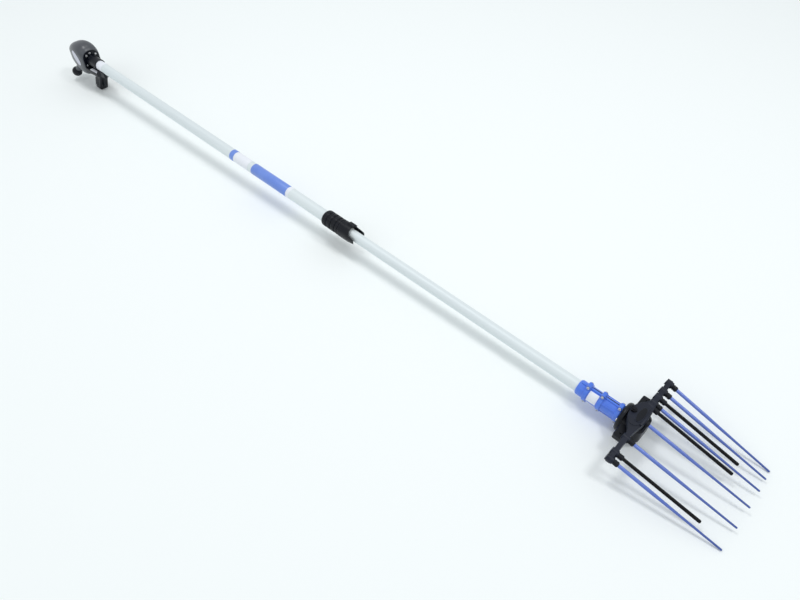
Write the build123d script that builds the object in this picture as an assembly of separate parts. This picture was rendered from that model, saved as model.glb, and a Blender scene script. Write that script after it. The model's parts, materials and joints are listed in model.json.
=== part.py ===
"""Electric olive harvester: a telescopic pole with a trigger handle and a rocking comb of tines.

Every piece is drawn in the pole's own frame: the pole's axis is X, the handle's front face is at x = 0,
the comb is at large x and Z is up.  The last section lays the tool on the ground, on its grip and on the
tips of its outer tines, with the origin under the middle of it.
"""
import os
from math import acos, asin, atan2, cos, degrees, pi, radians, sin, tan

from build123d import *

# Pole
outer_tube_dia = 35.0
inner_tube_dia = 30.0
tube_wall = 1.5
outer_tube_reach = 1342.0      # from the handle's face to the front end of the outer tube
inner_tube_reach = 788.0       # from there to the head, as drawn out
inner_overlap = 200.0          # inner tube still inside the outer one
slide_fit = 0.08               # radial play of the guide bush and the collet on the tubes
guide_bush_length = 32.0

# Twist lock
lock_sleeve_length = 67.0
lock_sleeve_dia = 46.0
lock_flutes = 18
lock_nose_length = 20.0
lock_nose_dia = 41.0
lock_ring_dia = 50.0
lock_ring_length = 36.0
lock_prong_length = 28.0
lock_ring_play = 0.3
collet_wall = 2.3
collet_length = 26.0
collet_slits = 6

# Handle housing and face
cover_width = 76.0
cover_top = 54.0
cover_bottom = 63.0
cover_length = 136.0
cover_wall = 2.6
face_width = 66.0
face_height = 76.0
face_thickness = 4.0
face_gap = 0.2
socket_dia = 42.0
socket_reach = 58.0            # pole socket, ahead of the face
socket_depth = 36.0            # and behind it
socket_flange_dia = 58.0
socket_flange_thickness = 4.0
face_screw_circle = 26.0
face_screw_angles = (40.0, 92.0, 126.0, 214.0, 344.0)
screw_dia = 4.0
screw_head_dia = 8.0
screw_head_height = 2.4
board_length = 56.0
board_width = 48.0
board_thickness = 1.6
board_arm = 4.0

# Bracket, grip, trigger and rocker switch
bracket_length = 108.0
bracket_tip_width = 38.0
bracket_taper = 4.1            # how much narrower each side is at the shoulder
bracket_depth = 36.0           # underside below the pole's axis, at the face
bracket_tip_depth = 25.0       # and at the tip
bracket_shelf = 20.0           # shelf below the pole's axis
bracket_wall_top = 6.0         # cradle walls end this far below the axis
grip_width = 33.0
grip_depth = 40.0
grip_rake = 24.0               # degrees, foot to the rear
grip_wall = 3.0
grip_edge_radius = 6.0
foot_x = 10.0
foot_drop = 107.0              # pole axis above the foot
trigger_width = 12.0
trigger_play = 0.4
trigger_length = 42.0
trigger_stroke = 8.0           # degrees
trigger_pin_dia = 4.0
pin_fit = 0.05
rocker_length = 42.0
rocker_width = 12.0
rocker_tilt = 6.0              # degrees, either way
rocker_wall = 1.4
rocker_play = 0.4
rocker_pin_dia = 2.4
rocker_x = 46.0
rocker_y = -22.0
rocker_turn = 4.0              # degrees in plan, along the bracket's edge

# Power inlet under the housing
inlet_x = -104.0
inlet_y = -27.0
inlet_drop = 77.0              # cap's middle below the pole's axis
inlet_cap_dia = 36.0
inlet_neck_dia = 19.0
inlet_bore_dia = 12.0
inlet_flutes = 12
inlet_lean = 36.0              # degrees, cap to the rear of the neck's root
inlet_toe = 12.5               # degrees, cap to the left of it

# Motor housing: two blue half shells bolted through three pairs of ears
motor_housing_length = 115.0
motor_housing_dia = 39.0
collar_dia = 45.0
collar_width = 10.0
collar_places = (25.0, 63.0, 108.0)
ear_reach = 31.0
ear_thickness = 14.0
ear_width = 11.0
bolt_dia = 4.0
bolt_head_dia = 7.0
bolt_head_height = 3.6
tube_seat = 30.0
motor_dia = 32.0
motor_length = 38.0
rotor_dia = 18.0
motor_shaft_dia = 4.0
running_fit = 0.05

# Planetary reduction and crank
gear_module = 0.6
sun_teeth = 12
planet_teeth = 15
ring_teeth = 42
gear_backlash = 0.16
planet_width = 8.0
planet_pin_dia = 3.0
planet_count = 3
carrier_thickness = 4.0
output_shaft_dia = 8.0
bearing_dia = 16.0
bearing_width = 5.0
crank_throw = 2.1
crank_reach = 13.0             # crank to rocker spindle
crank_bearing_dia = 13.0
crank_journal_dia = 6.0
fork_play = 0.5
crank_half_turn = 60.0         # degrees of crank either side of rest that drive the comb's travel

# Gear case and spindle
flange_dia = 74.0
flange_rear_dia = 65.0
flange_thickness = 10.0
flange_wall = 2.0
lug_reach = 70.0               # outer side of each lug of the case, from the pole's middle plane
lug_start = 3.0                # lug's rear ahead of the case's rear
lug_length = 25.0
lug_low = 5.0
lug_top = 18.5
lug_hole_y = 58.0
lug_hole_dia = 5.2
case_length = 51.0
case_width = 62.0
case_top = 20.0
case_bottom = 30.0
case_corner = 14.0
spindle_dia = 8.0
bush_wall = 2.0
bush_length = 9.0
fork_height = 12.0
fork_wall = 4.0
case_gap = 0.3

# Comb: an arched beam with nine tines in rubber boots
beam_span = 280.0
beam_height = 15.0
beam_depth = 11.5
beam_ahead = 22.7              # beam's centre line ahead of the spindle
beam_middle_z = 33.0
beam_end_z = 25.8
hub_width = 92.0
hub_depth = 43.0
hub_back = 8.2                 # hub's middle behind the beam's centre line
hub_boss_dia = 16.4
hub_rise = 1.0                 # hub over and under the beam
tine_shares = (0.945, 0.715, 0.54, 0.385, 0.284, -0.03, -0.49, -0.81, -0.945)   # of half the span
tine_is_blue = (True, True, False, True, False, True, True, False, True)
boot_dia = 13.2
boot_length = 21.0
boot_seat = 6.0
boss_dia = 17.0
boss_wall = 1.8                # behind a tine's root
boss_lip = 8.0                 # round a boot's foot
tine_root = 7.0
blue_tine_length = 256.0
black_tine_length = 194.0
blue_tine_dia = 8.4
blue_tip_dia = 4.6
black_tine_dia = 8.0
droop_middle = 10.0            # degrees below the pole
droop_end = 12.0
toe_in_end = 2.7               # degrees towards the middle, at the outer tines

# Sizes that follow from those above
outer_radius = outer_tube_dia / 2
outer_bore = outer_radius - tube_wall
inner_radius = inner_tube_dia / 2
head_x = outer_tube_reach + inner_tube_reach
motor_x = head_x + tube_seat + 3.0
gear_x = motor_x + motor_length + 1.0
planet_x = gear_x + 5.0
carrier_x = planet_x + planet_width + 1.5
ring_length = carrier_x + carrier_thickness + 1.0 - gear_x
flange_x = head_x + motor_housing_length
case_x = flange_x + flange_thickness
crank_x = flange_x + flange_wall + 4.0
spindle_x = crank_x + crank_reach
beam_x = spindle_x + beam_ahead
hub_x = beam_x - hub_back
lug_x = case_x + lug_start
tine_ys = [share * beam_span / 2 for share in tine_shares]
outer_tine_y = max(tine_ys)
comb_half_swing = degrees(asin(crank_throw * sin(radians(crank_half_turn)) / crank_reach))
crank_per_comb = crank_half_turn / comb_half_swing
parts = {}


# Shared helpers
def across(x):
    """Plane square to the pole at x, with its own x along Y and its own y along Z."""
    return Plane.YZ.offset(x)


def bar(x0, x1, radius):
    """Round bar along the pole."""
    return extrude(across(x0) * Circle(radius), amount=x1 - x0)


def pipe(x0, x1, radius, bore):
    """Round pipe along the pole."""
    return extrude(across(x0) * (Circle(radius) - Circle(bore)), amount=x1 - x0)


def turned(corners):
    """Body turned about the pole from (x, radius) corners."""
    return revolve(make_face(Polyline(*corners, close=True)), axis=Axis.X)


def turned_up(corners):
    """Body turned about Z from (radius, z) corners."""
    return revolve(Plane.XZ * make_face(Polyline(*corners, close=True)), axis=Axis.Z)


def plate_xz(corners, width, y=0.0):
    """Plate with (x, z) corners and its thickness along Y, centred on y."""
    outline = make_face(Polyline(*corners, close=True))
    return extrude(Plane.XZ.offset(-y) * outline, amount=width / 2, both=True)


def block(x0, x1, y0, y1, z0, z1):
    """Square block between two corners."""
    return Pos((x0 + x1) / 2, (y0 + y1) / 2, (z0 + z1) / 2) * Box(x1 - x0, y1 - y0, z1 - z0)


def cap_screw(length):
    """Screw along +Z with its domed head above z = 0 and a cross slot in it."""
    head = Cylinder(screw_head_dia / 2, screw_head_height, align=(Align.CENTER, Align.CENTER, Align.MIN))
    head = fillet(head.edges().sort_by(Axis.Z)[-1], screw_head_height * 0.6)
    shank = Pos(0, 0, -length / 2) * Cylinder(screw_dia / 2, length)
    slot = Pos(0, 0, screw_head_height) * Box(screw_head_dia * 0.6, 0.9, 1.6)
    return head + shank - slot - Rot(0, 0, 90) * slot


# Where the tines go
def droop(y):
    """Angle of a tine below the pole: the comb is hollow, like a hand."""
    return droop_middle + (droop_end - droop_middle) * (y / outer_tine_y) ** 2


def beam_z(y):
    """Height of the arched beam's centre line."""
    return beam_middle_z + (beam_end_z - beam_middle_z) * (y / outer_tine_y) ** 2


def tine_plane(y):
    """Plane at the beam's centre line whose own z runs out along the tine."""
    down = radians(droop(y))
    side = radians(-toe_in_end * y / outer_tine_y)
    along = (cos(down) * cos(side), cos(down) * sin(side), -sin(down))
    return Plane(origin=(beam_x, y, beam_z(y)), x_dir=(sin(side), -cos(side), 0), z_dir=along)


boot_start = beam_depth / 2 - boot_seat
boot_end = boot_start + boot_length
tip_down = radians(droop_end)
tip_side = radians(toe_in_end)
tip_reach = boot_end + blue_tine_length
tip_x = beam_x + tip_reach * cos(tip_down) * cos(tip_side)
tip_z = beam_end_z - tip_reach * sin(tip_down)
lie_angle = degrees(atan2(tip_z - blue_tip_dia / 2 + foot_drop, tip_x - foot_x))


def ground_z(x):
    """Height of the ground below the pole's axis, in the pole's frame."""
    return -foot_drop + (x - foot_x) * tan(radians(lie_angle))


# Pole
tube_end = outer_tube_reach
inner_start = tube_end - inner_overlap
parts["outer_tube"] = pipe(-socket_depth, tube_end, outer_radius, outer_bore)
parts["inner_tube"] = pipe(inner_start, head_x + tube_seat, inner_radius, inner_radius - tube_wall)
bush_lip = 3.0
parts["guide_bush"] = turned([
    (inner_start - bush_lip, inner_radius - tube_wall),
    (inner_start - bush_lip, outer_bore - slide_fit),
    (inner_start + guide_bush_length, outer_bore - slide_fit),
    (inner_start + guide_bush_length, inner_radius),
    (inner_start, inner_radius),
    (inner_start, inner_radius - tube_wall),
])


# Twist lock on the end of the outer tube
def lock_sleeve():
    """Ribbed grip sleeve on the outer tube, with a nose for the twist ring."""
    start = tube_end - 7.0 - lock_sleeve_length
    shoulder = start + lock_sleeve_length
    radius = lock_sleeve_dia / 2
    body = turned([
        (start, outer_radius), (start, radius - 2.5), (start + 2.5, radius), (shoulder, radius),
        (shoulder, lock_nose_dia / 2), (shoulder + lock_nose_length, lock_nose_dia / 2),
        (shoulder + lock_nose_length, outer_radius),
    ])
    flute = bar(start + 8.0, shoulder - 5.0, 1.3)
    for step in range(lock_flutes):
        body -= Rot(X=360.0 * step / lock_flutes) * Pos(0, 0, radius + 0.4) * flute
    for share in (0.3, 0.55, 0.8):
        middle = start + share * lock_sleeve_length
        body -= pipe(middle - 1.1, middle + 1.1, radius + 1.0, radius - 1.1)
    return body


def lock_ring():
    """Twist ring with an inner cone, a scalloped skirt of two prongs and a thumb pad."""
    start = tube_end - 7.0 + lock_ring_play
    web = start + lock_nose_length + 1.0
    end = start + lock_ring_length
    tip = end + lock_prong_length
    radius = lock_ring_dia / 2
    skirt = radius - 4.0
    bore = lock_nose_dia / 2 + lock_ring_play
    cone = outer_radius + 0.6
    body = turned([
        (start, bore), (start, radius - 1.5), (start + 1.5, radius), (end, radius), (tip, radius - 2.0),
        (tip, skirt), (web + 5.0, skirt), (web + 5.0, cone), (web, cone + 0.8), (web, bore),
    ])
    scallop = Pos(tip + 6.0, 0, 0) * Cylinder(lock_prong_length * 1.2, lock_ring_dia * 1.4)
    body -= scallop & block(end, tip + 1.0, -skirt - 0.5, skirt + 0.5, -radius - 1.0, radius + 1.0)
    notch = bar(start + 4.0, start + 16.0, 1.1)
    for step in range(lock_flutes):
        body -= Rot(X=360.0 * (step + 0.5) / lock_flutes) * Pos(0, 0, radius + 0.3) * notch
    pad = block(start + 17.0, end + 4.0, -9.0, 9.0, radius - 3.0, radius + 3.5)
    pad = fillet(pad.edges().filter_by(Axis.X).group_by(Axis.Z)[-1], 2.0)
    return body + Rot(X=-25.0) * (pad - bar(start, tip, radius - 1.0))


def lock_collet():
    """Slit collet that the ring's cone squeezes onto the inner tube."""
    start = tube_end
    bore = inner_radius + slide_fit
    outside = bore + collet_wall
    body = turned([
        (start, bore), (start, outside), (start + collet_length - 7.0, outside),
        (start + collet_length, outside - 1.2), (start + collet_length, bore),
    ])
    for step in range(collet_slits):
        slit = block(start + 6.0, start + collet_length + 1.0, -0.5, 0.5, bore - 1.0, outside + 1.0)
        body -= Rot(X=360.0 * step / collet_slits) * slit
    return body


parts["lock_sleeve"] = lock_sleeve()
parts["lock_ring"] = lock_ring()
parts["lock_collet"] = lock_collet()


# Handle housing
def egg_section(x, middle, width, height, inset):
    """One rounded cross-section of the housing."""
    wide = width - 2 * inset
    tall = height - 2 * inset
    return across(x) * Pos(0, middle) * RectangleRounded(wide, tall, min(wide, tall) * 0.44)


def egg(inset, front):
    """Egg-shaped housing from its mouth at the face to its blunt rear end."""
    tall = cover_top + cover_bottom
    middle = (cover_top - cover_bottom) / 2
    return loft([
        egg_section(front, 0.0, face_width, face_height, inset),
        egg_section(-0.21 * cover_length, middle, cover_width, tall, inset),
        egg_section(-0.48 * cover_length, 0.6 * middle, cover_width * 0.96, tall * 0.9, inset),
        egg_section(-0.74 * cover_length, 0.9 * middle, cover_width * 0.77, tall * 0.64, inset),
        egg_section(0.6 * inset - 0.92 * cover_length, 1.3 * middle, cover_width * 0.46, tall * 0.37, inset),
        egg_section(inset - cover_length, 1.5 * middle, cover_width * 0.22, tall * 0.17, inset),
    ])


def inlet_plane():
    """Plane in the inlet cap's middle, with its own z up the neck into the housing's belly."""
    lean = radians(inlet_lean)
    up = Vector(sin(lean), sin(radians(inlet_toe)), cos(lean))
    across_neck = Vector(cos(lean), 0, -sin(lean))
    return Plane(origin=(inlet_x, inlet_y, -inlet_drop), x_dir=across_neck, z_dir=up)


neck_reach = 60.0
cover_outside = egg(0.0, 0.0)
cover_inside = egg(cover_wall, 0.5)
mouth = egg_section(-face_thickness, 0.0, face_width, face_height, cover_wall)
mouth_cut = extrude(mouth, amount=face_thickness + 1)
neck_drill = Pos(0, 0, neck_reach / 2) * Cylinder(inlet_neck_dia / 2 + 0.1, neck_reach)
inlet_hole = inlet_plane().location * neck_drill
parts["housing_cover"] = cover_outside - cover_inside - mouth_cut - inlet_hole

plate = extrude(
    egg_section(-face_thickness, 0.0, face_width, face_height, cover_wall + face_gap), amount=face_thickness
)
plate -= bar(-face_thickness - 1, 1, socket_dia / 2 + 0.1)
arm_z = socket_dia / 2 + 2.0
for side in (-1, 1):
    arm_y = side * (board_width / 2 - 3.0)
    arm_x = -board_length - 12.0
    plate += block(arm_x, -face_thickness, arm_y - 3.0, arm_y + 3.0, arm_z, arm_z + board_arm)
face_screw_planes = []
for angle in face_screw_angles:
    centre = (0.0, face_screw_circle * cos(radians(angle)), face_screw_circle * sin(radians(angle)))
    face_screw_planes.append(Plane(origin=centre, x_dir=(0, 1, 0), z_dir=(1, 0, 0)))
for spot in face_screw_planes:
    plate -= spot.location * Cylinder(screw_dia / 2 + 0.05, 3 * face_thickness)
parts["front_plate"] = plate

flange_back = -face_thickness - socket_flange_thickness
socket = pipe(-socket_depth, socket_reach, socket_dia / 2, outer_radius)
socket += pipe(flange_back, -face_thickness, socket_flange_dia / 2, outer_radius)
for spot in face_screw_planes:
    socket -= spot.location * Pos(0, 0, -8.0) * Cylinder(screw_dia / 2 + 0.05, 16.0)
mouth_edges = socket.edges().filter_by(GeomType.CIRCLE).group_by(Axis.X)[-1]
socket = chamfer(mouth_edges.sort_by(SortBy.RADIUS)[-1], 1.5)
parts["pole_socket"] = socket
screw_reach = face_thickness + socket_flange_thickness - 0.5
face_screws = [spot.location * cap_screw(screw_reach) for spot in face_screw_planes]
parts["face_screws"] = Compound(children=face_screws)


def control_board():
    """Speed-control board with its capacitor, choke and connector."""
    top = arm_z + board_arm + board_thickness
    start = -board_length - 10.0
    body = block(start, start + board_length, -board_width / 2, board_width / 2, top - board_thickness, top)
    body += Pos(start + 0.25 * board_length, 8.0, top + 4.0) * Cylinder(5.0, 8.0)
    body += Pos(start + 0.54 * board_length, -8.0, top + 3.0) * (Cylinder(8.0, 6.0) - Cylinder(3.5, 6.0))
    body += block(start + 0.75 * board_length, start + 0.93 * board_length, -4.0, 12.0, top, top + 7.0)
    return body


parts["control_board"] = control_board()


# Power inlet: a neck from the housing's belly with a round screw cap over its pins
def inlet_cap():
    """Ball-shaped cap with grip flutes, bored for the neck."""
    radius = inlet_cap_dia / 2
    body = Sphere(radius) - Pos(0, 0, radius) * Cylinder(inlet_neck_dia / 2 + 0.1, inlet_cap_dia * 0.9)
    flute = Cylinder(1.2, inlet_cap_dia)
    for step in range(inlet_flutes):
        body -= Rot(Z=360.0 * step / inlet_flutes) * Pos(radius + 0.6, 0, 0) * flute
    return inlet_plane().location * body


neck_seat = inlet_cap_dia * 0.05
neck = Pos(0, 0, (neck_reach + neck_seat) / 2) * Cylinder(inlet_neck_dia / 2, neck_reach - neck_seat)
neck -= Pos(0, 0, neck_seat + 9.0) * Cylinder(inlet_bore_dia / 2, 18.0)
parts["inlet_neck"] = inlet_plane().location * neck
parts["inlet_cap"] = inlet_cap()
pins = Pos(0, 0, neck_seat + 15.0) * Cylinder(inlet_bore_dia / 2 - 0.1, 6.0)
for step in range(3):
    pins += Rot(Z=120.0 * step) * Pos(3.2, 0, neck_seat + 8.0) * Cylinder(0.9, 12.0)
parts["inlet_pins"] = inlet_plane().location * pins


# Bracket under the pole, and the pistol grip below it
def grip_x(z):
    """Middle of the raked grip at height z."""
    return foot_x + (z + foot_drop) * tan(radians(grip_rake))


def bracket_bottom(x):
    """Height of the bracket's sloping underside."""
    return -bracket_depth + (bracket_depth - bracket_tip_depth) * x / bracket_length


grip_top = bracket_bottom(foot_x + 0.5 * bracket_depth + 16.0)


def bracket():
    """Tapered tongue from the face that cradles the pole, with a shelf for the switch."""
    half = face_width / 2
    tip = bracket_tip_width / 2
    waist = bracket_length * 0.8
    shoulder = bracket_length * 0.67
    wide = half - bracket_taper
    plan = Polyline((0, -half), (shoulder, -wide), (waist, -tip - 2), (bracket_length, -tip), (bracket_length, tip),
                    (waist, tip + 2), (shoulder, wide), (0, half), close=True)
    side = plate_xz([(0, bracket_bottom(0)), (bracket_length, bracket_bottom(bracket_length)),
                     (bracket_length, -bracket_wall_top), (waist - 10, -bracket_wall_top),
                     (waist - 16, -bracket_shelf), (0, -bracket_shelf)], 2 * half)
    body = extrude(Pos(0, 0, -bracket_depth) * make_face(plan), amount=bracket_depth) & side
    body = fillet(body.edges().filter_by(Axis.Z).group_by(Axis.X)[-1], 4.0)
    body -= bar(-1, socket_reach, socket_dia / 2 + 0.05)
    body -= bar(socket_reach - 1, bracket_length + 1, outer_radius + 0.05)
    return body


def grip_profile():
    """Side outline of the raked grip, cut off along the ground at its foot."""
    half = grip_depth / 2
    front_low = (foot_x + half, ground_z(foot_x + half))
    rear_low = (foot_x - half, ground_z(foot_x - half))
    rear_top = grip_x(grip_top) - half
    front_top = grip_x(grip_top) + half + 3.0
    return make_face(Polyline((rear_top, bracket_bottom(rear_top)), (front_top, bracket_bottom(front_top)),
                              front_low, rear_low, close=True))


trigger_pin_z = grip_top - 13.0
trigger_pin_x = grip_x(trigger_pin_z) + grip_depth / 2 - 9.0


def grip_body():
    """Hollow grip with rounded edges, still in one piece, with the trigger's window in front."""
    outline = grip_profile()
    outside = extrude(Plane.XZ * outline, amount=grip_width / 2, both=True)
    outside = fillet(outside.edges().filter_by(Axis.Y).group_by(Axis.Z)[0], 9.0)
    sides = outside.faces().filter_by(Axis.Y).edges()
    outside = fillet(sides.filter_by(lambda edge: edge.center().Z < grip_top - 1.0), grip_edge_radius)
    core = offset(outline, amount=-grip_wall, kind=Kind.INTERSECTION)
    hollow = extrude(Plane.XZ * core, amount=grip_width / 2 - grip_wall, both=True)
    half = trigger_width / 2 + trigger_play
    low = trigger_pin_z - trigger_length - 4.0
    front = trigger_pin_x + grip_depth
    window = plate_xz([(trigger_pin_x - 6, grip_top - 4), (front, grip_top - 4), (front, low),
                       (grip_x(low) + 6, low)], 2 * half)
    body = outside - hollow - window
    for side in (-1, 1):
        post_y = side * (grip_width / 2 - grip_wall / 2)
        inner_y = side * half
        cheek = Pos(trigger_pin_x, (post_y + inner_y) / 2, trigger_pin_z)
        body += cheek * Rot(X=90) * Cylinder(5.0, abs(post_y - inner_y))
    pin_hole = Pos(trigger_pin_x, 0, trigger_pin_z) * Rot(X=90)
    return body - pin_hole * Cylinder(trigger_pin_dia / 2, grip_width - 2 * grip_wall)


trigger_toe = grip_x(trigger_pin_z - trigger_length) + grip_depth / 2 + 9.0
trigger_heel = trigger_toe - 12.0


def trigger():
    """Finger trigger, hung on its pin and curved for one finger."""
    low = trigger_pin_z - trigger_length
    front_top = grip_x(trigger_pin_z) + grip_depth / 2 + 5.0
    front_low = trigger_toe
    mid_z = (trigger_pin_z + low) / 2
    mid_x = (front_top + front_low) / 2 - 1.5
    outline = Polyline((front_low, low), (trigger_heel, low), (trigger_pin_x - 5.0, trigger_pin_z - 4.0),
                       (trigger_pin_x - 5.0, trigger_pin_z + 5.0), (front_top, trigger_pin_z + 5.0))
    finger = ThreePointArc((front_top, trigger_pin_z + 5.0), (mid_x, mid_z), (front_low, low))
    body = extrude(Plane.XZ * make_face(outline + finger), amount=trigger_width / 2, both=True)
    body = fillet(body.edges().filter_by(Axis.Y).group_by(Axis.Z)[0], 2.0)
    bore = Pos(trigger_pin_x, 0, trigger_pin_z) * Rot(X=90)
    return body - bore * Cylinder(trigger_pin_dia / 2 + pin_fit, trigger_width * 2)


parts["grip_bracket"] = bracket()
whole_grip = grip_body()
parts["grip_left"] = split(whole_grip, Plane.XZ, keep=Keep.TOP)
parts["grip_right"] = split(whole_grip, Plane.XZ, keep=Keep.BOTTOM)
parts["trigger"] = trigger()
pin_length = grip_width - 2 * grip_wall - 0.2
pin = Rot(X=90) * Cylinder(trigger_pin_dia / 2, pin_length)
parts["trigger_pin"] = Pos(trigger_pin_x, 0, trigger_pin_z) * pin
switch_arm = trigger_length * 0.65
plunger = 4.0
switch_z = trigger_pin_z - switch_arm
back_lean = (trigger_heel - trigger_pin_x + 5.0) / (trigger_length - 4.0)
trigger_back = trigger_pin_x - 5.0 + (switch_arm - 4.0) * back_lean
switch_x = trigger_back - switch_arm * sin(radians(trigger_stroke)) - plunger - 1.0
switch_half = grip_width / 2 - grip_wall
switch = block(switch_x - 8.0, switch_x, -switch_half, switch_half, switch_z - 8.0, switch_z + 8.0)
switch += Pos(switch_x + plunger / 2, 0, switch_z) * Rot(Y=90) * Cylinder(1.5, plunger)
parts["micro_switch"] = switch

grip_screw_spots = []
for share in (0.22, 0.82):
    spot_z = grip_top + share * (foot_drop + grip_top) * -1.0
    grip_screw_spots.append((grip_x(spot_z) - grip_depth / 2 + 9.0, spot_z))
screw_solids = []
for spot_x, spot_z in grip_screw_spots:
    place = Plane(origin=(spot_x, -grip_width / 2, spot_z), x_dir=(1, 0, 0), z_dir=(0, -1, 0)).location
    screw_solids.append(place * cap_screw(grip_width - grip_wall))
    hole = place * Cylinder(screw_dia / 2 + 0.05, 2 * (grip_width - grip_wall))
    boss = Pos(spot_x, 0, spot_z) * Rot(X=90) * Cylinder(screw_dia, grip_width - grip_wall)
    parts["grip_left"] = parts["grip_left"] + split(boss, Plane.XZ, keep=Keep.TOP) - hole
    parts["grip_right"] = parts["grip_right"] + split(boss, Plane.XZ, keep=Keep.BOTTOM) - hole
parts["grip_screws"] = Compound(children=screw_solids)

# Rocker switch on the left shelf of the bracket
rocker_place = Pos(rocker_x, rocker_y, -bracket_shelf) * Rot(Z=rocker_turn)
rocker_well = 7.0
frame_long = rocker_length + 2 * (rocker_play + rocker_wall)
frame_wide = rocker_width + 2 * (rocker_play + rocker_wall)


def rocker_frame():
    """Frame let into the shelf, open at its top for the paddle."""
    body = block(-frame_long / 2, frame_long / 2, -frame_wide / 2, frame_wide / 2, -rocker_well, 1.0)
    well = Pos(0, 0, 2.0) * Box(frame_long - 2 * rocker_wall, frame_wide - 2 * rocker_wall, 2 * rocker_well)
    pivot = Rot(X=90) * Cylinder(rocker_pin_dia / 2 + pin_fit, 2 * frame_wide)
    return body - well - pivot


def rocker_paddle():
    """Paddle with a ridged underside that tips over its middle."""
    half = rocker_length / 2
    rise = half * tan(radians(rocker_tilt))
    outline = Polyline((-half, rise - 4.5), (0, -4.5), (half, rise - 4.5), (half, 2.8), (0, 2.2),
                       (-half, 2.8), close=True)
    body = extrude(Plane.XZ * make_face(outline), amount=rocker_width / 2, both=True)
    body = fillet(body.edges().filter_by(Axis.Y).group_by(Axis.Z)[-1], 0.8)
    return body + Rot(X=90) * Cylinder(rocker_pin_dia / 2, frame_wide - 0.4)


rocker_cut = block(-frame_long / 2, frame_long / 2, -frame_wide / 2, frame_wide / 2, -rocker_well, 30.0)
parts["grip_bracket"] -= rocker_place * rocker_cut
parts["rocker_frame"] = rocker_place * rocker_frame()
parts["rocker_paddle"] = rocker_place * rocker_paddle()


# Motor housing
def ear_place(place):
    """Middle of a collar along the pole."""
    return head_x + place


def motor_housing():
    """Both half shells together: body, collars, ears, the rib on the joint and the bores."""
    radius = motor_housing_dia / 2
    collar = collar_dia / 2
    body = turned([
        (head_x, 0), (head_x, radius - 2.0), (head_x + 4.0, radius), (flange_x, radius), (flange_x, 0),
    ])
    for place in collar_places:
        middle = ear_place(place)
        half = collar_width / 2
        body += turned([(middle - half, 0), (middle - half, collar - 1.0), (middle - half + 1.0, collar),
                        (middle + half - 1.0, collar), (middle + half, collar - 1.0), (middle + half, 0)])
        ear = Pos(middle, 0, 0) * Box(ear_width, ear_thickness, 2 * ear_reach)
        body += fillet(ear.edges().filter_by(Axis.Y), ear_width * 0.42)
    body += block(head_x + 6.0, flange_x - 2.0, -2.5, 2.5, -radius - 2.5, radius + 2.5)
    rib_start = ear_place(collar_places[1])
    rib = block(rib_start, ear_place(collar_places[2]), -1.2, 1.2, radius - 2.0, radius + 1.6)
    for angle in (50.0, 130.0, 230.0, 310.0):
        body += Rot(X=angle) * rib
    body -= bar(head_x - 1.0, head_x + tube_seat, inner_radius)
    body -= bar(head_x + tube_seat - 1.0, motor_x, inner_radius - tube_wall)
    body -= bar(motor_x, flange_x + 1.0, motor_dia / 2)
    for place in collar_places:
        for side in (-1, 1):
            hole = Pos(ear_place(place), 0, side * (ear_reach - 5.0)) * Rot(X=90)
            body -= hole * Cylinder(bolt_dia / 2, collar_dia)
    return body


def housing_bolts():
    """Six socket-head bolts across the ears, heads on the left, nuts on the right."""
    solids = []
    for place in collar_places:
        for side in (-1, 1):
            z = side * (ear_reach - 5.0)
            seat = (ear_place(place), -ear_thickness / 2, z)
            left = Plane(origin=seat, x_dir=(1, 0, 0), z_dir=(0, -1, 0))
            head = Pos(0, 0, bolt_head_height / 2) * Cylinder(bolt_head_dia / 2, bolt_head_height)
            head -= Pos(0, 0, bolt_head_height) * extrude(RegularPolygon(1.9, 6), amount=-2.0)
            shank = Pos(0, 0, -ear_thickness / 2 - 1.0) * Cylinder(bolt_dia / 2, ear_thickness + 2.0)
            nut = extrude(RegularPolygon(bolt_head_dia / 2 + 0.4, 6), amount=3.2)
            nut = Pos(0, 0, -ear_thickness - 3.2) * nut
            solids.append(left.location * (head + shank + nut))
    return Compound(children=solids)


shells = motor_housing()
parts["motor_housing_left"] = split(shells, Plane.XZ, keep=Keep.TOP)
parts["motor_housing_right"] = split(shells, Plane.XZ, keep=Keep.BOTTOM)
parts["housing_bolts"] = housing_bolts()

# Motor, planetary gears and crank, all on the pole's axis
can_wall = 1.6
motor_end = motor_x + motor_length
shaft_radius = motor_shaft_dia / 2
can = pipe(motor_x, motor_end, motor_dia / 2, motor_dia / 2 - can_wall)
can += pipe(motor_x, motor_x + 4.0, motor_dia / 2, shaft_radius + running_fit)
can += pipe(motor_end - 4.0, motor_end, motor_dia / 2, shaft_radius + running_fit)
magnets = pipe(motor_x + 6.0, motor_end - 6.0, motor_dia / 2 - can_wall, rotor_dia / 2 + 0.6)
magnets -= block(motor_x, motor_end, -motor_dia, motor_dia, -2.0, 2.0)
parts["motor_can"] = can
parts["motor_magnets"] = magnets


def flank_angle(teeth, radius, thin):
    """Half-angle of an involute tooth at a radius; thin is taken off the tooth's thickness."""
    pitch = gear_module * teeth / 2
    base = pitch * cos(radians(20.0))
    lean = acos(min(1.0, base / max(radius, base)))
    return (pi / 2 - thin / gear_module) / teeth + tan(radians(20.0)) - radians(20.0) - (tan(lean) - lean)


def gear_outline(teeth, tip, root, thin, turn):
    """Gear outline with three radii to a flank and one tooth's middle at the angle turn."""
    corners = []
    pitch = gear_module * teeth / 2
    for tooth in range(teeth):
        middle = turn + 2 * pi * tooth / teeth
        for side, radii in ((-1, (root, pitch, tip)), (1, (tip, pitch, root))):
            for radius in radii:
                angle = middle + side * flank_angle(teeth, radius, thin)
                corners.append((radius * cos(angle), radius * sin(angle)))
    return make_face(Polyline(*corners, close=True))


def spur(teeth, turn):
    """Outline of an outside gear."""
    pitch = gear_module * teeth / 2
    tip = pitch + 0.95 * gear_module
    return gear_outline(teeth, tip, pitch - 1.25 * gear_module, gear_backlash / 2, turn)


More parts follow.
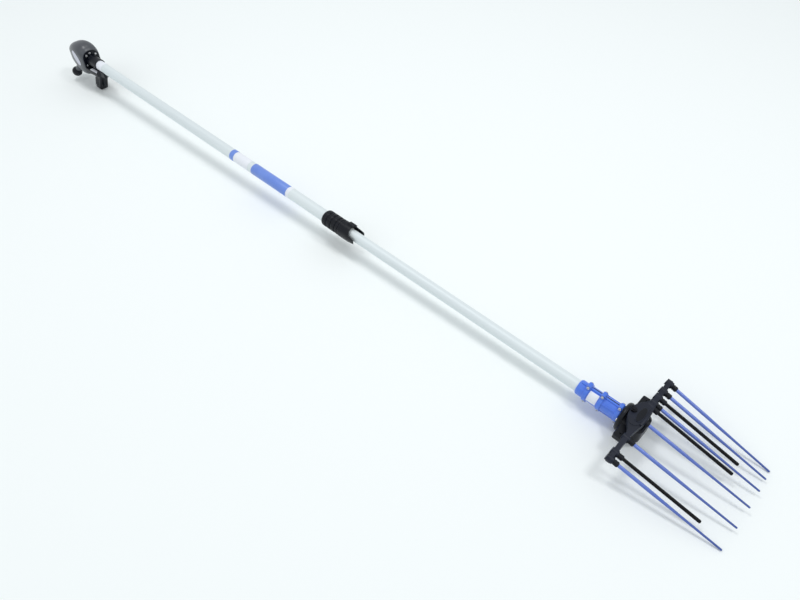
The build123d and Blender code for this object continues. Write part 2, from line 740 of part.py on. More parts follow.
planet_orbit = gear_module * (sun_teeth + planet_teeth) / 2
first_planet = pi / 2
planet_angles = [first_planet + 2 * pi * step / planet_count for step in range(planet_count)]
ring_turn = ((ring_teeth + sun_teeth) * first_planet + pi * planet_teeth) / ring_teeth
rotor = bar(motor_x + 1.0, planet_x + planet_width, shaft_radius)
rotor += bar(motor_x + 7.0, motor_end - 7.0, rotor_dia / 2)
rotor += extrude(across(planet_x - 0.5) * spur(sun_teeth, 0.0), amount=planet_width + 0.5)
parts["rotor_shaft"] = rotor
for number, angle in enumerate(planet_angles, start=1):
    turn = angle + pi + pi / planet_teeth + angle * sun_teeth / planet_teeth
    wheel = spur(planet_teeth, turn) - Circle(planet_pin_dia / 2 + running_fit)
    centre = Pos(0, planet_orbit * cos(angle), planet_orbit * sin(angle))
    parts[f"planet_gear_{number}"] = centre * extrude(across(planet_x) * wheel, amount=planet_width)
ring_pitch = gear_module * ring_teeth / 2
ring_tool = gear_outline(ring_teeth, ring_pitch + 1.25 * gear_module, ring_pitch - 0.95 * gear_module,
                         -gear_backlash / 2, ring_turn + pi / ring_teeth)
ring_blank = Circle(motor_dia / 2) - ring_tool
parts["ring_gear"] = extrude(across(gear_x) * ring_blank, amount=ring_length)

carrier_end = carrier_x + carrier_thickness
plate_x = gear_x + ring_length
bearing_x = flange_x - bearing_width
shaft = output_shaft_dia / 2
carrier = bar(carrier_x, carrier_end, planet_orbit + planet_pin_dia)
for angle in planet_angles:
    pin = bar(planet_x - 0.5, carrier_x + 1.0, planet_pin_dia / 2)
    carrier += Pos(0, planet_orbit * cos(angle), planet_orbit * sin(angle)) * pin
cheek_x = crank_x - bearing_width / 2 - 0.4
carrier += bar(carrier_end - 1.0, cheek_x, shaft)
carrier += bar(cheek_x - 2.4, cheek_x, shaft + 2.0)
journal = bar(cheek_x - 1.0, crank_x + bearing_width / 2 + 0.6, crank_journal_dia / 2)
carrier += Pos(0, 0, crank_throw) * journal
parts["planet_carrier"] = carrier
bearing_seat = pipe(plate_x, flange_x, motor_dia / 2, bearing_dia / 2)
bearing_seat += pipe(plate_x, bearing_x, motor_dia / 2, shaft + 1.0)
parts["bearing_plate"] = bearing_seat


def ball_bearing(x, bore, outside, width):
    """Shielded ball bearing: two races with a groove between them on each side."""
    middle = (bore + outside) / 2
    body = pipe(x, x + width, outside, bore)
    body -= pipe(x - 1.0, x + 0.5, middle + 0.8, middle - 0.8)
    return body - pipe(x + width - 0.5, x + width + 1.0, middle + 0.8, middle - 0.8)


parts["output_bearing"] = ball_bearing(bearing_x, shaft + running_fit, bearing_dia / 2, bearing_width)
race_x = crank_x - bearing_width / 2
crank_race = ball_bearing(race_x, crank_journal_dia / 2, crank_bearing_dia / 2, bearing_width)
crowned_race = crank_race & Pos(crank_x, 0, 0) * Sphere(crank_bearing_dia / 2)
parts["crank_bearing"] = Pos(0, 0, crank_throw) * crowned_race


# Gear case
def case_flange():
    """Round rear flange with a domed edge, hollow for the crank."""
    front = flange_dia / 2
    rear = flange_rear_dia / 2
    rise = front - rear
    dome = [(0.0, 0.0), (0.2, 0.55), (0.45, 0.9), (0.65, 1.0)]
    edge = [(flange_x + along * flange_thickness, rear + up * rise) for along, up in dome]
    body = turned([(flange_x, shaft + 2.6), *edge, (case_x, front), (case_x, fork_sweep),
                   (flange_x + flange_wall, fork_sweep), (flange_x + flange_wall, shaft + 2.6)])
    for y, z in case_screw_spots:
        body -= Pos(0, y, z) * bar(flange_x - 1.0, case_x + 1.0, screw_dia / 2 + 0.05)
    return body


fork_half = crank_bearing_dia / 2 + fork_play + fork_wall
fork_sweep = fork_half + crank_reach * sin(radians(comb_half_swing)) + 4.0
case_screw_spots = [(side * 25.5, z) for side in (-1, 1) for z in (-14.0, 10.0)]
bush_radius = spindle_dia / 2 + bush_wall


def case_body():
    """Gear case with a rounded nose, a chamber for the fork and two bush seats on the spindle."""
    nose_x = case_x + case_length
    half = case_width / 2
    plan = make_face(Polyline((case_x, -half), (nose_x, -half), (nose_x, half), (case_x, half), close=True))
    body = extrude(Pos(0, 0, -case_bottom) * plan, amount=case_bottom + case_top)
    body = fillet(body.edges().filter_by(Axis.Z).group_by(Axis.X)[-1], case_corner)
    low = body.edges().group_by(Axis.Z)[0].filter_by(lambda edge: edge.center().X > case_x + 1.0)
    body = fillet(low, 9.0)
    high = body.edges().group_by(Axis.Z)[-1].filter_by(lambda edge: edge.center().X > case_x + 1.0)
    body = chamfer(high, 4.0)
    chamber = block(case_x - 1.0, spindle_x + fork_sweep - 2.0, -fork_sweep, fork_sweep,
                    -fork_height / 2 - 1.0, fork_height / 2 + 1.0)
    body -= chamber
    seats = Cylinder(bush_radius, case_top + case_bottom + 2.0)
    body -= Pos(spindle_x, 0, (case_top - case_bottom) / 2) * seats
    cup = block(case_x, nose_x, -half, half, -case_bottom, -case_bottom + 3.0)
    seat = Pos(spindle_x, 0, -case_bottom + 4.0) * Cylinder(bush_radius + 1.0, 8.0)
    body += seat & cup
    for y, z in case_screw_spots:
        body -= Pos(0, y, z) * bar(case_x - 1.0, case_x + 16.0, screw_dia / 2)
    for side in (-1, 1):
        ends = sorted((side * (half - 2.0), side * lug_reach))
        lug = block(lug_x, lug_x + lug_length, *ends, lug_low, lug_top)
        upright = lug.edges().filter_by(Axis.Z)
        lug = fillet(upright.filter_by(lambda edge: abs(edge.center().Y) > lug_reach - 1.0), 4.0)
        lug = chamfer(lug.edges().group_by(Axis.Z)[-1], 1.0)
        drill = Cylinder(lug_hole_dia / 2, 3 * lug_top)
        body += lug - Pos(lug_x + lug_length / 2, side * lug_hole_y, lug_top) * drill
    return body


parts["case_flange"] = case_flange()
parts["gear_case"] = case_body()
screws = []
for y, z in case_screw_spots:
    spot = Plane(origin=(flange_x, y, z), x_dir=(0, 1, 0), z_dir=(-1, 0, 0)).location
    screws.append(spot * cap_screw(flange_thickness + 12.0))
parts["case_screws"] = Compound(children=screws)


def bush(low):
    """Flanged plain bush on the spindle."""
    hole = spindle_dia / 2 + running_fit
    ring = Cylinder(bush_radius, bush_length) - Cylinder(hole, bush_length)
    return Pos(spindle_x, 0, low + bush_length / 2) * ring


upper_bush_low = case_top - bush_length
lower_bush_low = -fork_height / 2 - 2.0 - bush_length
parts["spindle_bushes"] = Compound(children=[bush(lower_bush_low), bush(upper_bush_low)])

# Comb
hub_top = beam_middle_z + beam_height / 2 + hub_rise
hub_low = beam_middle_z - beam_height / 2 - hub_rise
nut_height = 5.0
spindle_low = -case_bottom + 3.2
spindle_length = hub_top + nut_height + 2.0 - spindle_low
spindle = Cylinder(spindle_dia / 2, spindle_length)
parts["spindle"] = Pos(spindle_x, 0, spindle_low + spindle_length / 2) * spindle
nut = extrude(RegularPolygon(spindle_dia * 0.95, 6), amount=nut_height)
nut -= Cylinder(spindle_dia / 2, 3 * nut_height)
parts["hub_nut"] = Pos(spindle_x, 0, hub_top) * nut
washer_height = hub_low - case_top - case_gap
ring = Cylinder(spindle_dia / 2 + 3.0, washer_height) - Cylinder(spindle_dia / 2, washer_height)
parts["thrust_spacer"] = Pos(spindle_x, 0, case_top + case_gap + washer_height / 2) * ring


def fork_lever():
    """Fork on the spindle that rides the crank's bearing."""
    slot = crank_bearing_dia / 2 + fork_play
    rear = crank_x - bearing_width / 2 + 1.2
    body = Pos(spindle_x, 0, 0) * Cylinder(spindle_dia / 2 + 4.5, fork_height)
    body += block(rear, spindle_x, -fork_half, fork_half, -fork_height / 2, fork_height / 2)
    body -= block(rear - 1.0, crank_x + bearing_width / 2 + 2.2, -slot, slot, -fork_height, fork_height)
    return body - Pos(spindle_x, 0, 0) * Cylinder(spindle_dia / 2, 3 * fork_height)


parts["fork_lever"] = fork_lever()


def comb_beam():
    """Arched beam that swells into an oval hub, with a boss for each boot."""
    half = beam_span / 2
    thick = beam_height / 2
    slim = beam_depth / 2

    def arch(lift):
        end = beam_z(half) + lift
        return ThreePointArc((-half, end), (0, beam_middle_z + lift), (half, end))

    low = beam_z(half) - thick
    ends = [Line((side * half, low), (side * half, low + beam_height)) for side in (-1, 1)]
    front = make_face(arch(-thick) + arch(thick) + ends)
    slab = extrude(across(hub_x - hub_depth) * front, amount=2 * hub_depth)

    def swell(edge, reach):
        shares = ((-1.0, 0.0), (-0.6, 0.34), (-0.3, 0.85), (0.0, 1.0), (0.3, 0.85), (0.6, 0.34), (1.0, 0.0))
        points = [(edge + share * reach, place * 0.72 * hub_width) for place, share in shares]
        return Spline(*points, tangents=((0, 1), (0, 1)))

    rear = beam_x - slim
    ahead = beam_x + slim
    shoulder = 0.72 * hub_width
    arms = []
    for side in (-1, 1):
        arms.append(Polyline((rear, side * shoulder), (rear, side * half), (ahead - 1.5, side * half),
                             (ahead, side * shoulder)))
    outline = arms + [swell(rear, hub_x - hub_depth / 2 - rear), swell(ahead, hub_x + hub_depth / 2 - ahead)]
    body = slab & extrude(make_face(outline), amount=2 * beam_middle_z)
    top = Pos(hub_x, 0, hub_low) * Ellipse(hub_depth / 2 - 1.5, hub_width / 2 - 10.0)
    hub = extrude(top, amount=hub_top - hub_low)
    hub = fillet(hub.edges().group_by(Axis.Z)[-1], 0.8)
    boss = Pos(spindle_x, 0, (hub_top + hub_low) / 2) * Cylinder(hub_boss_dia / 2, hub_top - hub_low)
    body = body + hub + boss
    tips = body.edges().filter_by(Axis.X).filter_by(lambda edge: abs(edge.center().Y) > half - 1.0)
    body = fillet(tips, 3.0)
    badge = extrude(SlotOverall(hub_width / 2, 17.0, rotation=90), amount=5.0)
    badge = Pos(hub_x + 5.0, 0, hub_top - 4.0) * badge
    body += badge - Pos(spindle_x, 0, hub_top) * Cylinder(9.5, 8.0)
    boss_rear = boot_start - tine_root - boss_wall
    boss_long = boot_start + boss_lip - boss_rear
    for y in tine_ys:
        socket = Pos(0, 0, boss_rear + boss_long / 2) * Cylinder(boss_dia / 2, boss_long)
        body += tine_plane(y).location * socket
    for y in tine_ys:
        place = tine_plane(y).location
        body -= place * Pos(0, 0, boot_start + boot_length / 2) * Cylinder(boot_dia / 2, boot_length)
        body -= place * Pos(0, 0, boot_start) * Cylinder(blue_tine_dia / 2, 2 * tine_root)
    return body - Pos(spindle_x, 0, beam_middle_z) * Cylinder(spindle_dia / 2, 3 * beam_height)


def boot(bore):
    """Rubber boot with two grooves and a rounded mouth, its own z along the tine."""
    radius = boot_dia / 2
    body = Cylinder(radius, boot_length, align=(Align.CENTER, Align.CENTER, Align.MIN))
    body = fillet(body.edges().sort_by(Axis.Z)[-1], 1.8)
    for share in (0.5, 0.7):
        groove = Cylinder(radius + 1.0, 1.4) - Cylinder(radius - 0.8, 1.4)
        body -= Pos(0, 0, share * boot_length) * groove
    return body - Pos(0, 0, boot_length / 2) * Cylinder(bore, boot_length + 2.0)


def blue_tine():
    """Fibre tine: a thick straight root, then a taper to a thin tip; its own z from the boot's foot."""
    root = blue_tine_dia / 2
    tip = blue_tip_dia / 2
    length = boot_length + blue_tine_length
    body = turned_up([(0, -tine_root), (root, -tine_root), (root, boot_length + 0.3 * blue_tine_length),
                      (tip + 0.5, boot_length + 0.66 * blue_tine_length), (tip, length), (0, length)])
    return fillet(body.edges().sort_by(Axis.Z)[-1], tip * 0.9)


def black_tine():
    """Plain round tine with a blunt end."""
    radius = black_tine_dia / 2
    length = boot_length + black_tine_length
    body = turned_up([(0, -tine_root), (radius, -tine_root), (radius, length), (0, length)])
    return fillet(body.edges().sort_by(Axis.Z)[-1], radius * 0.7)


parts["comb_beam"] = comb_beam()
boots = []
made = {True: 0, False: 0}
tine_kinds = {True: ("blue_tine", blue_tine(), boot(blue_tine_dia / 2)),
              False: ("black_tine", black_tine(), boot(black_tine_dia / 2))}
for y, is_blue in zip(tine_ys, tine_is_blue):
    name, tine, sleeve = tine_kinds[is_blue]
    made[is_blue] += 1
    foot = tine_plane(y).location * Pos(0, 0, boot_start)
    parts[f"{name}_{made[is_blue]}"] = foot * tine
    boots.append(foot * sleeve)
parts["tine_boots"] = Compound(children=boots)

# Laid on the ground: nose down by the lie angle, with the origin under the middle
lie = Rot(Y=lie_angle)
lain = {name: lie * shape for name, shape in parts.items()}
box = Compound(children=[shape.moved(Location()) for shape in lain.values()]).bounding_box()
shift = Pos(-(box.min.X + box.max.X) / 2, -(box.min.Y + box.max.Y) / 2, -box.min.Z)
os.makedirs("parts", exist_ok=True)
for name, shape in lain.items():
    export_step(shift * shape, f"parts/{name}.step")
print("nodes", len(parts), "lie angle", round(lie_angle, 3), "shift", shift.position)
print("overall", box.size)
print("comb half swing", round(comb_half_swing, 3), "crank per comb", round(crank_per_comb, 4))
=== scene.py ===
"""Dresses an electric olive harvester: finishes, films, ribs, pads, rings, floor, light, camera."""

import json
import logging
from contextlib import contextmanager
from dataclasses import dataclass, field
from enum import Enum
from math import atan2, cos, pi, radians, sin, tan
from typing import Any, Callable, Iterator, Optional, Union

import bpy
from mathutils import Matrix, Vector


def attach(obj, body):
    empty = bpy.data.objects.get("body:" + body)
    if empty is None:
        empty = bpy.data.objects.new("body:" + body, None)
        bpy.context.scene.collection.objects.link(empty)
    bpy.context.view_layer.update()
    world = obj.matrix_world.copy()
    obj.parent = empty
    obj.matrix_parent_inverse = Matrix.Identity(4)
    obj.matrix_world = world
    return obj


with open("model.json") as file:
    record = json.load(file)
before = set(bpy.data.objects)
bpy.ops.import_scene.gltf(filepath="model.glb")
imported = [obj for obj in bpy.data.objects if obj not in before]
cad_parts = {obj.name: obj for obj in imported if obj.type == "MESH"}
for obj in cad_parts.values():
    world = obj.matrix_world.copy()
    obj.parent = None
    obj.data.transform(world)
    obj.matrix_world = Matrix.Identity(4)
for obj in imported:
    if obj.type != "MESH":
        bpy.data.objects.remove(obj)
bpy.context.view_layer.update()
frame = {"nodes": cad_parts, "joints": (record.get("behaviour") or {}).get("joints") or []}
log = logging.getLogger("harvester")

MM = 0.001
QUARTER = pi / 2
CRANK_REACH_MM = 2251.0           # From the handle's face to the crank, along the pole

Piece = bpy.types.Object
Socket = bpy.types.NodeSocket
Tree = bpy.types.NodeTree
Colour = tuple[float, float, float, float]
Triple = tuple[float, float, float]
Pair = tuple[float, float]


def linear(code: str) -> Colour:
    """Turns an sRGB hex colour into linear RGBA.

    Args:
        code: Six hex digits with a leading hash.

    Returns:
        Linear red, green, blue and an alpha of one.
    """
    parts = [int(code[i:i + 2], 16) / 255 for i in (1, 3, 5)]
    red, green, blue = [c / 12.92 if c <= 0.04045 else ((c + 0.055) / 1.055) ** 2.4 for c in parts]
    return red, green, blue, 1.0


def turn(angle: float, axis: str) -> Matrix:
    """Rotation by an angle, in radians, about the axis of that name."""
    return Matrix.Rotation(angle, 4, axis)


def shift(x: float = 0.0, y: float = 0.0, z: float = 0.0) -> Matrix:
    """Translation, in millimetres."""
    return Matrix.Translation(Vector((x, y, z)) * MM)


@dataclass(frozen=True)
class PoleLine:
    """The pole's axis in the row frame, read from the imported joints.

    Attributes:
        face: Point of the axis in the handle's face.
        tilt: How far the comb's end lies lower, in radians.
    """

    face: Vector
    tilt: float

    @classmethod
    def read(cls, crank_reach_mm: float) -> "PoleLine":
        """Finds the axis from the slide and the crank.

        Args:
            crank_reach_mm: Distance from the handle's face to the crank.

        Returns:
            The pole's line.
        """
        joints = {joint["name"]: joint for joint in frame["joints"]}
        along = Vector(joints["pole_slide"]["axis"])
        crank = Vector(joints["crank_turn"]["pos_m"])
        return cls(crank - along * crank_reach_mm * MM, atan2(-along.z, along.x))

    def matrix(self) -> Matrix:
        """Frame of the pole: x along it, y to the right as seen from the comb, z up from it."""
        return Matrix.Translation(self.face) @ turn(self.tilt, "Y")

    def at(self, x: float) -> Vector:
        """Point in the row frame of a place along the pole, in millimetres."""
        return self.matrix() @ Vector((x * MM, 0.0, 0.0))

    def place(self, x: float, y: float = 0.0, z: float = 0.0) -> Matrix:
        """Frame at a place along the pole, in millimetres, turned as the pole is."""
        return self.matrix() @ shift(x, y, z)


POLE = PoleLine.read(CRANK_REACH_MM)


def add_node(tree: Tree, kind: str, settings: Optional[dict[Any, Any]] = None,
             links: Optional[dict[Any, Socket]] = None) -> bpy.types.Node:
    """Adds one shader node.

    Args:
        tree: Node tree to add to.
        kind: Blender's node type.
        settings: Properties by name, or default values of inputs by name or number.
        links: Output sockets by the name or number of the input they feed.

    Returns:
        The new node.
    """
    node = tree.nodes.new(kind)
    for key, value in (settings or {}).items():
        if isinstance(key, str) and hasattr(node, key):
            setattr(node, key, value)
        else:
            node.inputs[key].default_value = value
    for key, source in (links or {}).items():
        tree.links.new(source, node.inputs[key])
    return node


def remap(tree: Tree, value: Socket, span: Pair, reach: Pair = (0.0, 1.0)) -> Socket:
    """Maps one range of a value onto another, and holds it at the ends.

    Args:
        tree: Node tree to add to.
        value: Value to map.
        span: Start and end of the value's range.
        reach: What these two become.

    Returns:
        The mapped value.
    """
    limits = {"From Min": span[0], "From Max": span[1], "To Min": reach[0], "To Max": reach[1]}
    return add_node(tree, "ShaderNodeMapRange", limits, {"Value": value}).outputs["Result"]


def blend(tree: Tree, share: Socket, first: Union[Socket, Colour], second: str) -> Socket:
    """Mixes two colours.

    Args:
        tree: Node tree to add to.
        share: Share of the second colour.
        first: First colour, as an output or as linear RGBA.
        second: Second colour, sRGB hex.

    Returns:
        The mixed colour.
    """
    colour_a, colour_b, colour_out = 6, 7, 2     # The Mix node's sockets for colours
    settings = {"data_type": "RGBA", colour_b: linear(second)}
    links = {0: share}
    (links if isinstance(first, Socket) else settings)[colour_a] = first
    return add_node(tree, "ShaderNodeMix", settings, links).outputs[colour_out]


@dataclass(frozen=True)
class Noise:
    """One layer of a surface's pattern.

    Attributes:
        detail: Number of finer layers on top of it.
        rough: Strength of these finer layers.
    """

    detail: float
    rough: float

    def draw(self, tree: Tree, place: Socket, width_mm: float) -> Socket:
        """Adds the layer.

        Args:
            tree: Node tree to add to.
            place: Coordinates that it follows.
            width_mm: Width of the pattern.

        Returns:
            Its value.
        """
        settings = {"Scale": 1.0 / (width_mm * MM), "Detail": self.detail, "Roughness": self.rough}
        return add_node(tree, "ShaderNodeTexNoise", settings, {"Vector": place}).outputs["Fac"]


class Grain(Enum):
    """How a surface was made: its pattern's stretch along and across the pole."""

    DRAWN = (0.012, 1.0, 1.0)
    MOULDED = (1.0, 1.0, 1.0)
    FIBRE = (0.05, 1.0, 1.0)
    TURNED = (1.0, 0.25, 0.25)


FINE = Noise(3.0, 0.6)
BROAD = Noise(4.0, 0.55)
FINE_SHARE = 0.5                  # Share of the fine pattern in the mottling
MOTTLE_SPAN = (0.45, 1.05)        # Values of both patterns between colour and shade
GLOSS_SPAN = (0.3, 0.7)           # Values of the fine pattern between both roughnesses
BUMP_STRENGTH = 0.6
COAT_ROUGH = 0.1
FADE_SPAN_MM = (2320.0, 2540.0)   # Start and end of the rods' fade, along the pole
EDGE_SAMPLES = 4
EDGE_SPAN = (0.99, 0.86)          # Cosines of the turn at an edge: not lightened, fully lightened
EDGE_LIGHTENING = (0.0, 0.8)             # Least and most lightening of edges, as rubbing wear and as painted highlight


@dataclass(frozen=True)
class Finish:
    """One real material and how its surface was made.

    Attributes:
        name: Common name of the material.
        colour: Main colour, sRGB hex.
        shade: Second colour of its mottling, sRGB hex.
        worn_and_glint: Colour along sharp edges, lighter both as rubbing wear and as painted
            highlight, sRGB hex.
        grain: How the surface was made.
        grain_mm: Width of the fine pattern.
        cloud_mm: Width of the broad mottling.
        rough: Lowest and highest roughness.
        bump_mm: Height of the fine pattern.
        edge_mm: Radius that sharp edges are broken to, none for a film.
        metallic: One for bare metal.
        ior: Index of refraction, left at the default for metal.
        coat: Clear gloss over the colour.
        tip: Colour it fades to at the comb's end of the part, sRGB hex.
    """

    name: str
    colour: str
    shade: str
    worn_and_glint: str
    grain: Grain = Grain.MOULDED
    grain_mm: float = 1.2
    cloud_mm: float = 45.0
    rough: Pair = (0.45, 0.6)
    bump_mm: float = 0.03
    edge_mm: float = 0.6
    metallic: float = 0.0
    ior: float = 1.5
    coat: float = 0.0
    tip: Optional[str] = None

    def make(self) -> bpy.types.Material:
        """Builds the node material.

        Returns:
            The material, which reads Object coordinates only.
        """
        material = bpy.data.materials.new(self.name)
        material.use_nodes = True
        tree = material.node_tree
        tree.nodes.clear()
        place = add_node(tree, "ShaderNodeTexCoord").outputs["Object"]
        run = add_node(tree, "ShaderNodeMapping",
                       {"Scale": self.grain.value, "Rotation": (0.0, -POLE.tilt, 0.0)},
                       {"Vector": place}).outputs["Vector"]
        fine = FINE.draw(tree, run, self.grain_mm)
        broad = BROAD.draw(tree, run, self.cloud_mm)
        both = add_node(tree, "ShaderNodeMath", {"operation": "MULTIPLY_ADD", 1: FINE_SHARE},
                        {0: fine, 2: broad}).outputs["Value"]
        paint = blend(tree, remap(tree, both, MOTTLE_SPAN), linear(self.colour), self.shade)
        paint = self.fade(tree, place, paint)
        gloss = remap(tree, fine, GLOSS_SPAN, self.rough)
        relief = add_node(tree, "ShaderNodeBump",
                          {"Strength": BUMP_STRENGTH, "Distance": self.bump_mm * MM},
                          {"Height": fine})
        if self.edge_mm:
            # Lighter sharp edges: rubbing wear and painted highlight.
            paint = self.lighten_edges(tree, relief, broad, paint)
        shader = add_node(tree, "ShaderNodeBsdfPrincipled", {"Metallic": self.metallic},
                          {"Base Color": paint, "Roughness": gloss,
                           "Normal": relief.outputs["Normal"]})
        if not self.metallic:
            shader.inputs["IOR"].default_value = self.ior
        if self.coat:
            shader.inputs["Coat Weight"].default_value = self.coat
            shader.inputs["Coat Roughness"].default_value = COAT_ROUGH
        add_node(tree, "ShaderNodeOutputMaterial", links={"Surface": shader.outputs["BSDF"]})
        return material

    def fade(self, tree: Tree, place: Socket, paint: Socket) -> Socket:
        """Fades the colour along the tines; the paler root end is partly painted highlight along
        the roots.

        Args:
            tree: Node tree of the material.
            place: Object coordinates.
            paint: Colour so far.

        Returns:
            The colour with its fade, or as it came.
        """
        if not self.tip:
            return paint
        along = add_node(tree, "ShaderNodeSeparateXYZ", links={0: place}).outputs["X"]
        start, end = (POLE.at(reach).x for reach in FADE_SPAN_MM)
        return blend(tree, remap(tree, along, (start, end)), paint, self.tip)

    def lighten_edges(self, tree: Tree, relief: bpy.types.Node, broad: Socket, paint: Socket) -> Socket:
        """Breaks sharp edges and lightens their colour in patches, as rubbing wear and as painted
        highlight.

        Args:
            tree: Node tree of the material.
            relief: Bump node that takes the broken edge's normal.
            broad: Broad noise that makes the lightening patchy.
            paint: Colour so far.

        Returns:
            The colour with its lighter edges, part wear and part painted highlight.
        """
        broken = add_node(tree, "ShaderNodeBevel",
                          {"samples": EDGE_SAMPLES, "Radius": self.edge_mm * MM}).outputs["Normal"]
        tree.links.new(broken, relief.inputs["Normal"])
        flat = add_node(tree, "ShaderNodeNewGeometry").outputs["Normal"]
        bend = add_node(tree, "ShaderNodeVectorMath", {"operation": "DOT_PRODUCT"},
                        {0: broken, 1: flat}).outputs["Value"]
        edge = remap(tree, bend, EDGE_SPAN, EDGE_LIGHTENING)
        patchy = add_node(tree, "ShaderNodeMath", {"operation": "MULTIPLY", "use_clamp": True},
                          {0: edge, 1: broad}).outputs["Value"]
        return blend(tree, patchy, paint, self.worn_and_glint)


# Drawn and anodised tube: fine lines along it and a soft sheen
TUBE = Finish("anodised_aluminium", "#E4ECEE", "#D6DFE2", "#F0F4F5", Grain.DRAWN, 0.9, 30.0,
              (0.42, 0.56), 0.01, metallic=0.12)
# Moulded ABS with a spark-eroded grain: broad soft highlights
COVER = Finish("moulded_abs_grey", "#505359", "#41444A", "#70737A", grain_mm=0.9,
               rough=(0.28, 0.38), bump_mm=0.04, ior=1.56)
# Glass-filled nylon: blue-black, with a dry sheen
BLACK = Finish("glass_filled_nylon", "#070C18", "#04070F", "#404958", grain_mm=1.0,
               rough=(0.28, 0.4), bump_mm=0.05, ior=1.36)
# The same nylon in a lighter colour that paints the light on the comb's beam, so the beam stands
# out from the case
PAINTED_LIT_NYLON = Finish("nylon_painted_lit", "#121A2E", "#0B111F", "#4F5A6E", grain_mm=1.0,
               rough=(0.42, 0.55), bump_mm=0.05, ior=1.4)
# Gloss ABS moulded in blue: clear highlights
BLUE = Finish("gloss_abs_blue", "#507EE8", "#4271DC", "#88A9F2", grain_mm=2.0,
              rough=(0.24, 0.34), bump_mm=0.015, coat=0.35)
# Pultruded fibre rod in blue: streaks along it, and paler at the root, partly the rod's colour and
# partly painted highlight along the roots
BLUE_ROD = Finish("fibre_rod_blue", "#6681D4", "#5470C6", "#94A6E0", Grain.FIBRE, 0.8, 20.0,
                  (0.26, 0.38), 0.02, coat=0.3, tip="#3A549E")
# Pultruded fibre rod in black
BLACK_ROD = Finish("fibre_rod_black", "#07080B", "#040507", "#1C1D22", Grain.FIBRE, 0.8, 20.0,
                   (0.36, 0.5), 0.02, ior=1.28)
# Soft moulded rubber: hardly any gloss
RUBBER = Finish("moulded_rubber", "#090E1B", "#050912", "#202836", grain_mm=0.8,
                rough=(0.5, 0.65), bump_mm=0.04, ior=1.4)
# Bright zinc plate on steel
ZINC = Finish("zinc_plated_steel", "#D9DADC", "#C2C4C7", "#EDEEF0", Grain.TURNED, 0.6, 8.0,
              (0.22, 0.34), 0.008, edge_mm=0.3, metallic=1.0)
# Black oxide on steel: a dark oily sheen
OXIDE = Finish("black_oxide_steel", "#33343A", "#26272B", "#6B6C72", Grain.TURNED, 0.6, 8.0,
               (0.3, 0.42), 0.01, edge_mm=0.3, metallic=1.0)
# Ground steel of gears and shafts
STEEL = Finish("ground_steel", "#A9ABAE", "#8F9194", "#C9CBCE", Grain.TURNED, 0.5, 10.0,
               (0.25, 0.4), 0.01, edge_mm=0.2, metallic=1.0)
# Natural nylon, waxy white
NYLON = Finish("natural_nylon", "#E6E4DC", "#D9D6CC", "#F0EEE8", grain_mm=1.5,
               rough=(0.4, 0.5), bump_mm=0.02)
# Pale grey switch plastic
SWITCH = Finish("switch_grey_abs", "#D2D4DA", "#C3C5CD", "#E6E7EB", grain_mm=0.9,
                rough=(0.36, 0.46), bump_mm=0.02)
# Sintered magnet, dull
MAGNET = Finish("sintered_magnet", "#3A3A3C", "#2E2E30", "#5A5A5C", grain_mm=0.8,
                rough=(0.5, 0.7), bump_mm=0.03)
# Bronze of the bushes and contact pins
BRONZE = Finish("sintered_bronze", "#B98B4A", "#A1783D", "#D6AE72", Grain.TURNED, 0.6, 8.0,
                (0.3, 0.45), 0.01, edge_mm=0.2, metallic=1.0)
# Solder mask over glass fibre
BOARD = Finish("circuit_board", "#1D5A36", "#174A2C", "#3C7A55", grain_mm=1.0,
               rough=(0.3, 0.4), bump_mm=0.02)
# Films with an even soft gloss: bare vinyl labels, and a pale lilac sheet on the housing's flank
WHITE_FILM = Finish("white_vinyl", "#EFF2F8", "#E4E7F0", "#FFFFFF", grain_mm=1.4,
                    rough=(0.35, 0.45), bump_mm=0.01, edge_mm=0.0)
BLUE_FILM = Finish("blue_vinyl", "#7696E4", "#6585D8", "#A4BAEE", grain_mm=1.4,
                   rough=(0.3, 0.4), bump_mm=0.01, edge_mm=0.0)
PALE_FILM = Finish("pale_lilac_sheet", "#D3D4E0", "#C2C3D2", "#E4E4EE", grain_mm=1.4,
                   rough=(0.28, 0.38), bump_mm=0.01, edge_mm=0.0)


